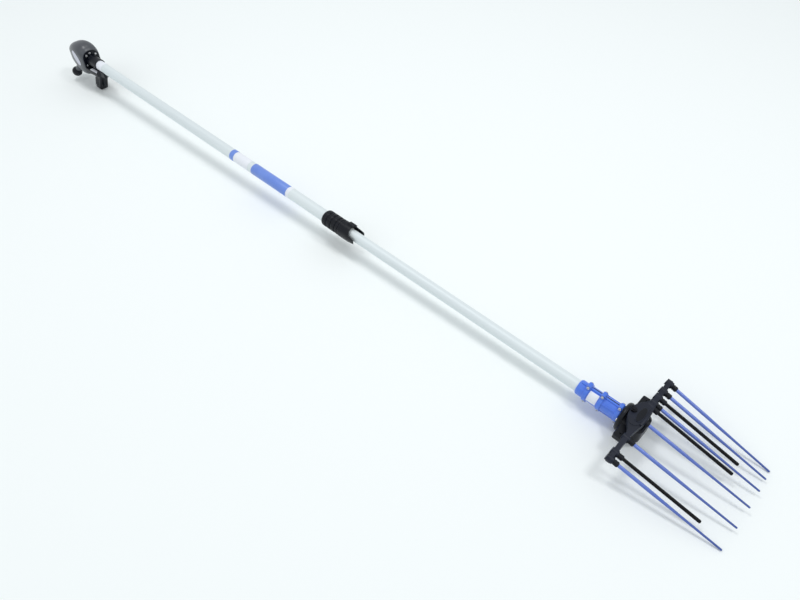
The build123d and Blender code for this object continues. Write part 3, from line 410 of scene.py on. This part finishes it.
class Bench:
    """Modelling steps with Blender's own operators."""

    EDGE_STEPS = 2                # Segments of a broken edge
    SHARP = radians(40)           # Edges that turn by more are broken
    SMOOTH = radians(35)          # Faces that turn by less are shaded as one
    WALL_EDGE = 0.3               # Broken edge of a wall, share of its thickness
    PATCH_SIDES = 120             # Sides of the whole tube that a patch is cut from
    OVAL_SIDES = 64
    PAD_SLOPE, PAD_BASE, PAD_EDGE = 0.7, 0.5, 0.2       # Shares of a pad's height
    RIM_WIDTH, RIM_SINK, RIM_EDGE = 0.08, 0.3, 0.2      # Shares of an oval's width and thickness
    RIB_SLOPE, RIB_CROWN, RIB_EDGE = 0.22, 0.25, 0.18   # Shares of a rib's width and height
    UPWARDS = 0.9                 # Least z of the normal of a face that counts as the top

    @staticmethod
    def clear() -> None:
        """Leaves edit mode and deselects everything."""
        if bpy.context.object and bpy.context.object.mode != "OBJECT":
            bpy.ops.object.mode_set(mode="OBJECT")
        bpy.ops.object.select_all(action="DESELECT")

    @staticmethod
    @contextmanager
    def editing(everything: bool = True) -> Iterator[None]:
        """Holds the active piece in edit mode.

        Args:
            everything: Selects all of it. If not, the picked faces stay selected.

        Returns:
            The context, which ends in object mode.
        """
        bpy.ops.object.mode_set(mode="EDIT")
        if everything:
            bpy.ops.mesh.select_all(action="SELECT")
        else:
            bpy.ops.mesh.select_mode(type="FACE")
        yield
        bpy.ops.object.mode_set(mode="OBJECT")

    @staticmethod
    def settle(name: str, place: Optional[Matrix] = None) -> Piece:
        """Names the active object and puts its place into its mesh.

        Args:
            name: New name.
            place: Where it goes first, if not where it is.

        Returns:
            The object, at the origin.
        """
        piece = bpy.context.object
        if place is not None:
            piece.matrix_world = place
        piece.name = name
        piece.data.name = name
        bpy.ops.object.transform_apply(location=True, rotation=True, scale=True)
        return piece

    @staticmethod
    def pick_faces(piece: Piece, keep: Callable[[Vector, Vector], bool]) -> None:
        """Selects faces by their place and normal.

        Args:
            piece: Mesh object in object mode.
            keep: Takes a face's centre and normal and says if it is selected.
        """
        for vertex in piece.data.vertices:
            vertex.select = False
        for edge in piece.data.edges:
            edge.select = False
        for face in piece.data.polygons:
            face.select = bool(keep(face.center, face.normal))

    @staticmethod
    def modify(piece: Piece, kind: str, **settings: Any) -> None:
        """Adds a modifier and applies it.

        Args:
            piece: Mesh object.
            kind: Blender's modifier type.
            **settings: The modifier's properties.
        """
        bpy.context.view_layer.objects.active = piece
        modifier = piece.modifiers.new(kind.title(), kind)
        for key, value in settings.items():
            setattr(modifier, key, value)
        bpy.ops.object.modifier_apply(modifier=modifier.name)

    @classmethod
    def break_edges(cls, piece: Piece, width: float) -> None:
        """Bevels a piece's sharp edges and shades it smooth between them.

        Args:
            piece: Mesh object.
            width: Width of the bevel, mm.
        """
        cls.modify(piece, "BEVEL", width=width * MM, segments=cls.EDGE_STEPS,
                   limit_method="ANGLE", angle_limit=cls.SHARP)
        cls.clear()
        piece.select_set(True)
        bpy.context.view_layer.objects.active = piece
        bpy.ops.object.shade_smooth_by_angle(angle=cls.SMOOTH)

    @classmethod
    def thicken(cls, piece: Piece, wall: float) -> None:
        """Gives an open skin a wall on its outside.

        Args:
            piece: Mesh object.
            wall: Wall thickness, mm.
        """
        cls.modify(piece, "SOLIDIFY", thickness=wall * MM, offset=1.0, use_even_offset=True)
        cls.break_edges(piece, wall * cls.WALL_EDGE)

    @classmethod
    def copies(cls, piece: Piece, places: list[Matrix]) -> list[Piece]:
        """Sets copies of a piece that was modelled at the origin, each with its own mesh.

        Args:
            piece: Piece at the origin, which is removed in the end.
            places: Where the copies go.

        Returns:
            One piece to a place, numbered from one.
        """
        stem = piece.name
        made = []
        for number, place in enumerate(places, start=1):
            cls.clear()
            twin = piece.copy()
            twin.data = piece.data.copy()
            bpy.context.scene.collection.objects.link(twin)
            twin.select_set(True)
            bpy.context.view_layer.objects.active = twin
            made.append(cls.settle(f"{stem}_{number}", place))
        bpy.data.objects.remove(piece)
        return made

    @classmethod
    def skin(cls, name: str, place: Matrix, length: float, radius: float, sides: int) -> Piece:
        """Makes a skin without thickness round the x axis of a place.

        Args:
            name: Name of the piece.
            place: Frame of its middle.
            length: Length, mm.
            radius: Radius of its corners, mm.
            sides: Number of sides.

        Returns:
            The skin.
        """
        cls.clear()
        bpy.ops.mesh.primitive_cylinder_add(vertices=sides, radius=radius * MM, depth=length * MM,
                                            end_fill_type="NOTHING")
        return cls.settle(name, place @ turn(QUARTER, "Y"))

    @classmethod
    def tube(cls, name: str, place: Matrix, length: float, radius: float, wall: float,
             sides: int = 72) -> Piece:
        """Makes a short open tube along the x axis of a place.

        Args:
            name: Name of the piece.
            place: Frame of the tube's middle.
            length: Length, mm.
            radius: Inside radius, mm.
            wall: Wall thickness, mm.
            sides: Number of sides.

        Returns:
            The tube.
        """
        piece = cls.skin(name, place, length, radius, sides)
        cls.thicken(piece, wall)
        return piece

    @classmethod
    def studs(cls, name: str, place: Matrix, length: float, radius: float, height: float,
              count: int) -> Piece:
        """Makes a thin band round the x axis of a place, with a row of raised pads.

        Args:
            name: Name of the piece.
            place: Frame of the band's middle.
            length: Length, mm.
            radius: Radius of the band's corners, mm.
            height: Height of the pads, mm.
            count: Number of pads.

        Returns:
            The band.
        """
        piece = cls.skin(name, place, length, radius, count)
        with cls.editing():
            bpy.ops.mesh.inset(thickness=height * cls.PAD_SLOPE * MM, depth=height * MM,
                               use_individual=True)
        cls.modify(piece, "SOLIDIFY", thickness=height * cls.PAD_BASE * MM, offset=-1.0,
                   use_even_offset=True)
        cls.break_edges(piece, height * cls.PAD_EDGE)
        return piece

    @classmethod
    def patch(cls, name: str, place: Matrix, length: float, radius: float, wall: float,
              middle: float, spread: float) -> Piece:
        """Makes a film that wraps part of the way round a tube along the x axis of a place.

        Args:
            name: Name of the piece.
            place: Frame of the film's middle, on the tube's axis.
            length: Length, mm.
            radius: Inside radius, mm.
            wall: Thickness, mm.
            middle: Angle of its middle from the y axis towards the top, degrees.
            spread: Angle it covers, degrees.

        Returns:
            The film.
        """
        piece = cls.skin(name, place, length, radius, cls.PATCH_SIDES)
        back = place.inverted()
        aim = Vector((0.0, cos(radians(middle)), sin(radians(middle))))

        def outside(centre: Vector, normal: Vector) -> bool:
            """Tells whether a face lies beyond the film's edge."""
            spot = back @ centre
            return Vector((0.0, spot.y, spot.z)).angle(aim) > radians(spread / 2)

        cls.pick_faces(piece, outside)
        with cls.editing(everything=False):
            bpy.ops.mesh.delete(type="FACE")
        cls.thicken(piece, wall)
        return piece

    @classmethod
    def disc(cls, name: str, place: Matrix, length: float, width: float, fill: str) -> Piece:
        """Makes a flat oval without thickness in the x-y plane of a place.

        Args:
            name: Name of the piece.
            place: Frame whose x runs along the oval.
            length: Length, mm.
            width: Width, mm.
            fill: Blender's kind of fill.

        Returns:
            The oval.
        """
        cls.clear()
        bpy.ops.mesh.primitive_circle_add(vertices=cls.OVAL_SIDES, radius=1.0, fill_type=fill)
        size = Matrix.Diagonal((length / 2 * MM, width / 2 * MM, MM, 1.0))
        return cls.settle(name, place @ size)

    @classmethod
    def oval(cls, name: str, place: Matrix, length: float, width: float, thick: float) -> Piece:
        """Makes a raised oval plate with a sunk middle, in the x-y plane of a place.

        Args:
            name: Name of the piece.
            place: Frame whose x runs along the oval and whose z points outwards.
            length: Length, mm.
            width: Width, mm.
            thick: Thickness, mm.

        Returns:
            The plate.
        """
        piece = cls.disc(name, place, length, width, "NGON")
        out = (place.to_3x3() @ Vector((0.0, 0.0, 1.0))).normalized()
        with cls.editing():
            bpy.ops.mesh.extrude_region_move(TRANSFORM_OT_translate={"value": out * thick * MM})
            bpy.ops.mesh.inset(thickness=width * cls.RIM_WIDTH * MM,
                               depth=-thick * cls.RIM_SINK * MM)
            bpy.ops.mesh.select_all(action="SELECT")
            bpy.ops.mesh.normals_make_consistent(inside=False)
        cls.break_edges(piece, thick * cls.RIM_EDGE)
        return piece

    @classmethod
    def rib(cls, name: str, length: float, width: float, height: float) -> Piece:
        """Makes a rounded rib at the origin, along x and standing on the x-y plane.

        Args:
            name: Name of the piece.
            length: Length, mm.
            width: Width, mm.
            height: Height of its sides, mm.

        Returns:
            The rib.
        """
        cls.clear()
        bpy.ops.mesh.primitive_cube_add(size=1.0, location=(0.0, 0.0, height / 2 * MM))
        bpy.context.object.scale = (length * MM, width * MM, height * MM)
        piece = cls.settle(name)
        cls.pick_faces(piece, lambda centre, normal: normal.z > cls.UPWARDS)
        with cls.editing(everything=False):
            bpy.ops.mesh.inset(thickness=width * cls.RIB_SLOPE * MM, depth=0.0)
            bpy.ops.transform.translate(value=(0.0, 0.0, height * cls.RIB_CROWN * MM))
        cls.break_edges(piece, min(width, height) * cls.RIB_EDGE)
        return piece


class Palette:
    """Makes each finish once and gives it to pieces and solids."""

    def __init__(self) -> None:
        """Starts with no materials made."""
        self.made: dict[str, bpy.types.Material] = {}

    def give(self, piece: Piece, finish: Finish) -> None:
        """Sets a piece's only material.

        Args:
            piece: Mesh object.
            finish: Finish to give it.
        """
        if finish.name not in self.made:
            self.made[finish.name] = finish.make()
        if not piece.material_slots:
            piece.data.materials.append(self.made[finish.name])
        for slot in piece.material_slots:
            slot.material = self.made[finish.name]


@dataclass
class SubAssembly:
    """Solids of one sub-assembly with their finishes, and the pieces added to it.

    Attributes:
        palette: Maker of the materials.
    """

    palette: Palette

    def solids(self) -> dict[Finish, tuple[str, ...]]:
        """Names the solids that take each finish."""
        return {}

    def build(self) -> None:
        """Models the added pieces."""

    def dress(self) -> None:
        """Finishes the solids."""
        for finish, nodes in self.solids().items():
            for node in nodes:
                self.palette.give(frame["nodes"][node], finish)
                log.info("%s in %s", node, finish.name)

    def mount(self, piece: Piece, body: str, finish: Finish, slot: str) -> None:
        """Finishes a new piece and sets it on its body.

        Args:
            piece: New piece.
            body: Body it moves with.
            finish: Its finish.
            slot: Material slot of the record that is nearest to it; not used.
        """
        self.palette.give(piece, finish)
        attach(piece, body)
        log.info("%s on %s in %s", piece.name, body, finish.name)


@dataclass
class Pole(SubAssembly):
    """Both tubes, with the bare films on the outer one.

    Attributes:
        radius: Outside radius of the outer tube, mm.
        film_gap: Gap under a film, mm.
        film_wall: Thickness of a film as drawn, mm.
        bands: Start, end and finish of each film along the pole, mm.
    """

    radius: float = 17.5
    film_gap: float = 0.02
    film_wall: float = 0.25
    bands: dict[str, tuple[float, float, Finish]] = field(default_factory=lambda: {
        "socket_film": (58.5, 92.0, WHITE_FILM), "stripe_film": (838.0, 857.0, BLUE_FILM),
        "plain_film": (857.5, 926.0, WHITE_FILM), "long_film": (944.0, 1105.0, BLUE_FILM),
        "end_film": (1105.5, 1119.0, WHITE_FILM)})

    def solids(self) -> dict[Finish, tuple[str, ...]]:
        """Names the solids that take each finish."""
        return {TUBE: ("outer_tube", "inner_tube"), NYLON: ("guide_bush",)}

    def build(self) -> None:
        """Wraps the films round the tube."""
        for name, (start, end, finish) in self.bands.items():
            film = Bench.tube(name, POLE.place((start + end) / 2), end - start,
                              self.radius + self.film_gap, self.film_wall)
            self.mount(film, "handle", finish, "tube")


@dataclass
class Handle(SubAssembly):
    """Housing, face, grip and switches, with a pale oval film, a tail plug, ribs and ridges.

    Attributes:
        film_place: Middle of the oval film along and above the pole's axis, mm.
        film_size: Length and width of the oval film, mm.
        film_slope: How far the film runs down towards the face, degrees.
        film_lift: How far up the film faces, degrees.
        film_start: Distance from the axis that the film is projected from, mm.
        film_cuts: Cuts across each edge of the film, so that it can follow the flank.
        film_gap: Gap under the film, mm.
        film_wall: Thickness of the film as drawn, mm.
        film_edge: Broken edge of the film and the plug, mm.
        plug_rise: Height of the plug's dome, share of its radius.
        plug_seat: How far the plug reaches into the housing, mm.
        plug_rim: Depth of the housing's end that its rim is taken from, mm.
        plug_sides: Segments and rings of the whole dome.
        foot: Grip's foot along the pole and its drop below the axis, mm.
        rake: Grip's rake, degrees.
        grip_half: Half the grip's width, mm.
        rib_drops: Ribs' distances below the axis, mm.
        rib_size: Length, width and height of a rib, mm.
        rib_back: How far the ribs lie behind the grip's middle, mm.
        rib_sink: How far a rib is sunk into the grip, mm.
        rocker_place: Middle of the rocker's top, mm.
        rocker_turn: Turn of the rocker in plan, degrees.
        ridge_x: Ridges' places along the rocker from its middle, mm.
        ridge_size: Length, width and height of a ridge, mm.
    """

    film_place: Pair = (-42.0, -13.0)
    film_size: Pair = (54.0, 32.0)
    film_slope: float = 44.0
    film_lift: float = 28.0
    film_start: float = 60.0
    film_cuts: int = 5
    film_gap: float = 0.15
    film_wall: float = 0.3
    film_edge: float = 0.1
    plug_rise: float = 0.5
    plug_seat: float = 0.3
    plug_rim: float = 0.2
    plug_sides: tuple[int, int] = (48, 24)
    foot: Pair = (10.0, 107.0)
    rake: float = 24.0
    grip_half: float = 16.5
    rib_drops: tuple[float, ...] = (58.0, 65.0, 72.0, 79.0, 86.0)
    rib_size: Triple = (20.0, 2.4, 0.9)
    rib_back: float = 2.0
    rib_sink: float = 0.3
    rocker_place: Triple = (46.0, -22.0, -17.6)
    rocker_turn: float = 4.0
    ridge_x: tuple[float, ...] = (-16.0, -12.0, 12.0, 16.0)
    ridge_size: Triple = (8.5, 1.2, 0.7)

    def solids(self) -> dict[Finish, tuple[str, ...]]:
        """Names the solids that take each finish."""
        return {COVER: ("housing_cover", "inlet_neck"),
                BLACK: ("front_plate", "pole_socket", "grip_bracket", "grip_left", "grip_right",
                        "inlet_cap", "rocker_frame", "trigger", "micro_switch"),
                ZINC: ("face_screws", "grip_screws", "trigger_pin"), SWITCH: ("rocker_paddle",),
                BRONZE: ("inlet_pins",), BOARD: ("control_board",)}

    def build(self) -> None:
        """Models the film, the tail plug, the ribs of the grip and the ridges of the rocker."""
        self.mount(self.flank_film(), "handle", PALE_FILM, "light_grey")
        self.mount(self.tail_plug(), "handle", COVER, "cover_grey")
        for piece in Bench.copies(Bench.rib("grip_rib", *self.rib_size), self.rib_places()):
            self.mount(piece, "handle", BLACK, "black")
        middle = POLE.place(*self.rocker_place) @ turn(radians(self.rocker_turn), "Z")
        ends = [middle @ shift(x) @ turn(QUARTER, "Z") for x in self.ridge_x]
        for piece in Bench.copies(Bench.rib("rocker_ridge", *self.ridge_size), ends):
            self.mount(piece, "rocker", SWITCH, "light_grey")

    def rib_places(self) -> list[Matrix]:
        """Finds the ribs' places on both sides of the grip.

        Returns:
            One frame to a rib, its z outwards.
        """
        places = []
        for side in (-1, 1):
            for drop in self.rib_drops:
                ahead = (self.foot[1] - drop) * tan(radians(self.rake)) - self.rib_back
                spot = POLE.place(self.foot[0] + ahead, side * (self.grip_half - self.rib_sink),
                                  -drop)
                places.append(spot @ turn(-side * QUARTER, "X"))
        return places

    def tail_plug(self) -> Piece:
        """Makes the low dome that closes the housing's rear end.

        Returns:
            The plug.
        """
        pole = POLE.matrix()
        back = pole.inverted()
        cover = frame["nodes"]["housing_cover"]
        points = [back @ vertex.co for vertex in cover.data.vertices]
        end = min(point.x for point in points)
        rim = [point for point in points if point.x < end + self.plug_rim * MM]
        centre = sum(rim, Vector()) / len(rim)
        radius = max((point - centre).length for point in rim)
        segments, rings = self.plug_sides
        Bench.clear()
        bpy.ops.mesh.primitive_uv_sphere_add(segments=segments, ring_count=rings, radius=radius)
        flatten = Matrix.Diagonal((self.plug_rise, 1, 1, 1))
        piece = Bench.settle("tail_plug", pole @ Matrix.Translation(centre) @ flatten)
        seat = centre + Vector((self.plug_seat * MM, 0.0, 0.0))
        with Bench.editing():
            bpy.ops.mesh.bisect(plane_co=pole @ seat, plane_no=pole.to_3x3().col[0],
                                use_fill=True, clear_outer=True)
        Bench.break_edges(piece, self.film_edge)
        return piece

    def flank_film(self) -> Piece:
        """Makes the oval film that follows the housing's left flank.

        Returns:
            The film.
        """
        along, above = self.film_place
        place = (POLE.place(along) @ turn(QUARTER - radians(self.film_lift), "X")
                 @ shift(0.0, above, self.film_start) @ turn(radians(-self.film_slope), "Z"))
        piece = Bench.disc("flank_film", place, *self.film_size, "TRIFAN")
        with Bench.editing():
            bpy.ops.mesh.subdivide(number_cuts=self.film_cuts)
        Bench.modify(piece, "SHRINKWRAP", target=frame["nodes"]["housing_cover"],
                     offset=self.film_gap * MM, wrap_method="PROJECT",
                     use_positive_direction=False, use_negative_direction=True)
        Bench.modify(piece, "SOLIDIFY", thickness=self.film_wall * MM, offset=1.0)
        Bench.break_edges(piece, self.film_edge)
        return piece


@dataclass
class Lock(SubAssembly):
    """Twist lock, with rows of pads round its sleeve and ridges on its thumb pad.

    Attributes:
        rows: Middle and length of each row of pads along the pole, mm.
        sleeve_radius: Outside radius of the sleeve, mm.
        row_lift: How far a row's band stands off the sleeve at its corners, mm.
        row_height: Height of the pads, mm.
        row_count: Number of pads in a row.
        thumb_x: Places of the thumb pad's ridges along the pole, mm.
        thumb_radius: Height of the thumb pad above the axis, mm.
        thumb_turn: Turn of the thumb pad from the top towards the y axis, degrees.
        ridge_size: Length, width and height of a ridge, mm.
    """

    rows: tuple[Pair, ...] = ((1279.0, 13.0), (1296.7, 13.0), (1313.3, 13.0), (1328.3, 8.5))
    sleeve_radius: float = 23.0
    row_lift: float = 0.2
    row_height: float = 1.4
    row_count: int = 22
    thumb_x: tuple[float, ...] = (1357.0, 1362.0, 1367.0, 1372.0)
    thumb_radius: float = 28.3
    thumb_turn: float = 25.0
    ridge_size: Triple = (12.0, 1.8, 0.9)

    def solids(self) -> dict[Finish, tuple[str, ...]]:
        """Names the solids that take each finish."""
        return {BLACK: ("lock_sleeve", "lock_ring"), NYLON: ("lock_collet",)}

    def build(self) -> None:
        """Sets the rows of pads and the ridges on the thumb pad."""
        for number, (middle, length) in enumerate(self.rows, start=1):
            row = Bench.studs(f"pad_row_{number}", POLE.place(middle), length,
                              self.sleeve_radius + self.row_lift, self.row_height, self.row_count)
            self.mount(row, "handle", BLACK, "black")
        places = [POLE.place(x) @ turn(radians(-self.thumb_turn), "X")
                  @ shift(z=self.thumb_radius) @ turn(QUARTER, "Z") for x in self.thumb_x]
        for piece in Bench.copies(Bench.rib("pad_ridge", *self.ridge_size), places):
            self.mount(piece, "lock", BLACK, "black")


@dataclass
class Head(SubAssembly):
    """Motor housing and gear case, with a bare film and black strips of painted shade between the
    collars.

    Attributes:
        radius: Outside radius of the motor housing, mm.
        film_span: Start and end of the film along the pole, mm.
        film_gap: Gap under the film, mm.
        film_wall: Thickness of the film as drawn, mm.
        film_middle: Angle of its middle from the y axis towards the top, degrees.
        film_spread: Angle it covers, degrees.
        strip_spans: Start and end of each black strip of painted shade beside the housing's top
            seam, mm.
        strip_size: Width and height of a strip, mm.
        strip_sink: How far a strip is sunk into the housing, mm.
        strip_turn: Turn of the strips from the top towards the y axis, degrees.
    """

    radius: float = 19.5
    film_span: Pair = (2162.0, 2186.0)
    film_gap: float = 0.02
    film_wall: float = 0.25
    film_middle: float = 146.0
    film_spread: float = 84.0
    strip_spans: tuple[Pair, ...] = ((2162.0, 2186.0), (2200.0, 2231.0))
    strip_size: Pair = (4.0, 1.2)
    strip_sink: float = 0.5
    strip_turn: float = 15.0

    def solids(self) -> dict[Finish, tuple[str, ...]]:
        """Names the solids that take each finish."""
        return {BLUE: ("motor_housing_left", "motor_housing_right"),
                BLACK: ("case_flange", "gear_case"), ZINC: ("housing_bolts", "case_screws"),
                TUBE: ("bearing_plate",), MAGNET: ("motor_magnets",),
                STEEL: ("motor_can", "rotor_shaft", "ring_gear", "planet_gear_1", "planet_gear_2",
                        "planet_gear_3", "planet_carrier", "crank_bearing", "output_bearing"),
                BRONZE: ("spindle_bushes",)}

    def build(self) -> None:
        """Sticks the film on the housing and sets the black strips of painted shade beside its
        seam.
        """
        start, end = self.film_span
        film = Bench.patch("motor_film", POLE.place((start + end) / 2), end - start,
                           self.radius + self.film_gap, self.film_wall, self.film_middle,
                           self.film_spread)
        self.mount(film, "head", WHITE_FILM, "white_nylon")
        # Black strips paint the shade that falls beside the ridge along the housing's top, between
        # the collars.
        for number, (start, end) in enumerate(self.strip_spans, start=1):
            place = (POLE.place((start + end) / 2) @ turn(radians(-self.strip_turn), "X")
                     @ shift(z=self.radius - self.strip_sink))
            strip = Bench.rib(f"seam_strip_{number}", end - start, *self.strip_size)
            self.mount(Bench.copies(strip, [place])[0], "head", BLACK, "black")


@dataclass
class Comb(SubAssembly):
    """Beam, boots and tines, with a plate and a bar on the hub and a ring at each boot's mouth.

    Attributes:
        plate_place: Middle of the hub plate, mm.
        plate_size: Length, width and thickness of the hub plate, mm.
        bar_place: Middle of the bar along the hub's front, mm.
        bar_size: Length, width and height of that bar, mm.
        mouth_reach: Boot's mouth from a tine's root, mm.
        ring_length: Length of a mouth ring, mm.
        ring_radius: Inside radius of a mouth ring, mm.
        ring_wall: Wall of a mouth ring, mm.
        ring_sides: Number of sides of a mouth ring.
        root_depth: Length of a tine's root that its middle is taken from, mm.
        tip_depth: Length of a tine's tip that its middle is taken from, mm.
    """

    plate_place: Triple = (2283.5, 0.0, 42.4)
    plate_size: Triple = (44.0, 15.0, 0.9)
    bar_place: Triple = (2295.5, 0.0, 41.2)
    bar_size: Triple = (52.0, 5.0, 2.2)
    mouth_reach: float = 28.0
    ring_length: float = 1.6
    ring_radius: float = 4.3
    ring_wall: float = 1.3
    ring_sides: int = 40
    root_depth: float = 2.0
    tip_depth: float = 1.5

    def solids(self) -> dict[Finish, tuple[str, ...]]:
        """Names the solids that take each finish."""
        # The beam takes the lighter nylon, which is painted light on its top.
        return {PAINTED_LIT_NYLON: ("comb_beam",), RUBBER: ("tine_boots",), OXIDE: ("hub_nut", "spindle"),
                STEEL: ("fork_lever",), NYLON: ("thrust_spacer",),
                BLUE_ROD: tuple(f"blue_tine_{n}" for n in range(1, 7)),
                BLACK_ROD: tuple(f"black_tine_{n}" for n in range(1, 4))}

    def build(self) -> None:
        """Sets the hub plate, the bar and the mouth rings."""
        hub = POLE.place(*self.plate_place) @ turn(QUARTER, "Z")
        self.mount(Bench.oval("hub_plate", hub, *self.plate_size), "comb", BLACK, "black")
        front = POLE.place(*self.bar_place) @ turn(QUARTER, "Z")
        # The bar on the hub takes the same lighter nylon, painted light like the beam's.
        for piece in Bench.copies(Bench.rib("hub_bar", *self.bar_size), [front]):
            self.mount(piece, "comb", PAINTED_LIT_NYLON, "black")
        ring = Bench.tube("mouth_ring", Matrix.Identity(4), self.ring_length, self.ring_radius,
                          self.ring_wall, self.ring_sides)
        for piece in Bench.copies(ring, [self.mouth(node) for node in self.tines()]):
            self.mount(piece, "comb", RUBBER, "rubber")

    def tines(self) -> list[str]:
        """Names all nine tines."""
        return [node for finish in (BLUE_ROD, BLACK_ROD) for node in self.solids()[finish]]

    def mouth(self, node: str) -> Matrix:
        """Finds a boot's mouth from its tine's two ends.

        Args:
            node: Name of the tine's solid.

        Returns:
            Frame at the mouth whose x runs out along the tine.
        """
        points = [vertex.co for vertex in frame["nodes"][node].data.vertices]
        low = min(point.x for point in points) + self.root_depth * MM
        high = max(point.x for point in points) - self.tip_depth * MM
        root = self.middle([point for point in points if point.x < low])
        tip = self.middle([point for point in points if point.x > high])
        out = (tip - root).normalized()
        aim = out.to_track_quat("X", "Z").to_matrix().to_4x4()
        return Matrix.Translation(root + out * self.mouth_reach * MM) @ aim

    @staticmethod
    def middle(points: list[Vector]) -> Vector:
        """Gives the mean of some points."""
        return sum(points, Vector()) / len(points)


@dataclass(frozen=True)
class Lamp:
    """A square soft box that faces the tool's middle.

    Attributes:
        name: Name of the lamp.
        place: Where it hangs, metres.
        size: Side of the square, metres.
        power: Watts.
    """

    name: str
    place: Triple
    size: float
    power: float

    def hang(self) -> None:
        """Hangs the lamp."""
        data = bpy.data.lights.new(self.name, "AREA")
        data.size = self.size
        data.energy = self.power
        lamp = bpy.data.objects.new(self.name, data)
        lamp.location = self.place
        lamp.rotation_euler = (-Vector(self.place)).to_track_quat("-Z", "Y").to_euler()
        bpy.context.scene.collection.objects.link(lamp)


@dataclass
class Studio:
    """Floor, lamps, sky and camera.

    Attributes:
        floor_colour: Colour of the floor, sRGB hex.
        floor_side: Side of the floor, metres.
        floor_drop: How far the floor lies below the part's lowest point, metres.
        floor_rough: Roughness of the floor.
        floor_shine: Strength of the floor's reflections.
        sky_colour: Colour of the even sky, sRGB hex.
        sky: Strength of the even sky.
        lamps: Soft boxes over the comb, the handle and the near side.
        eye: Camera's place, metres, with x from the handle's face.
        azimuth: Camera's turn to the left of +Y, degrees.
        down: Camera's view below the level, degrees.
        sensor: Width of the camera's sensor, mm.
        focal_px: Focal length in pixels of the photograph.
        photo_px: Width of the photograph in pixels.
    """

    floor_colour: str = "#F6FAFA"
    floor_side: float = 24.0
    floor_drop: float = 0.0005
    floor_rough: float = 0.8
    floor_shine: float = 0.1
    sky_colour: str = "#F4F8FA"
    sky: float = 0.73
    lamps: tuple[Lamp, ...] = (Lamp("comb_box", (2.5, 1.0, 4.6), 1.0, 47.0),
                               Lamp("top_box", (-1.2, 0.3, 4.8), 1.0, 50.0),
                               Lamp("near_box", (-1.0, -3.6, 4.0), 2.6, 10.0))
    eye: Triple = (2.458, -0.981, 1.366)
    azimuth: float = 42.55
    down: float = 47.21
    sensor: float = 36.0
    focal_px: float = 683.0
    photo_px: float = 800.0

    def floor(self) -> None:
        """Lays the plain pale floor."""
        Bench.clear()
        bpy.ops.mesh.primitive_plane_add(size=self.floor_side, location=(0, 0, -self.floor_drop))
        ground = bpy.context.object
        ground.name = "floor"
        material = bpy.data.materials.new("pale_floor")
        material.use_nodes = True
        shader = material.node_tree.nodes["Principled BSDF"]
        shader.inputs["Base Color"].default_value = linear(self.floor_colour)
        shader.inputs["Roughness"].default_value = self.floor_rough
        shader.inputs["Specular IOR Level"].default_value = self.floor_shine
        ground.data.materials.append(material)

    def light(self) -> None:
        """Sets the even sky and the soft boxes."""
        world = bpy.data.worlds.new("studio_sky")
        world.use_nodes = True
        back = world.node_tree.nodes["Background"]
        back.inputs["Color"].default_value = linear(self.sky_colour)
        back.inputs["Strength"].default_value = self.sky
        bpy.context.scene.world = world
        for lamp in self.lamps:
            lamp.hang()

    def camera(self) -> None:
        """Sets the camera where the photograph was taken from."""
        azimuth, down = radians(self.azimuth), radians(self.down)
        ahead = Vector((-sin(azimuth) * cos(down), cos(azimuth) * cos(down), -sin(down)))
        right = Vector((cos(azimuth), sin(azimuth), 0.0))
        aim = Matrix((right, right.cross(ahead), -ahead)).transposed().to_4x4()
        data = bpy.data.cameras.new("photo_camera")
        data.sensor_width = self.sensor
        data.sensor_fit = "HORIZONTAL"
        data.lens = self.focal_px * self.sensor / self.photo_px
        camera = bpy.data.objects.new("photo_camera", data)
        x, y, z = self.eye
        camera.matrix_world = Matrix.Translation((POLE.face.x + x, y, z)) @ aim
        bpy.context.scene.collection.objects.link(camera)
        bpy.context.scene.camera = camera

    def build(self) -> None:
        """Builds the whole studio."""
        self.floor()
        self.light()
        self.camera()
        bpy.context.scene.view_settings.view_transform = "Standard"


def main() -> None:
    """Builds the dressed harvester."""
    logging.basicConfig(level=logging.INFO)
    palette = Palette()
    for kind in (Pole, Handle, Lock, Head, Comb):
        sub_assembly = kind(palette)
        sub_assembly.dress()
        sub_assembly.build()
    Studio().build()


if __name__ == "__main__":
    main()
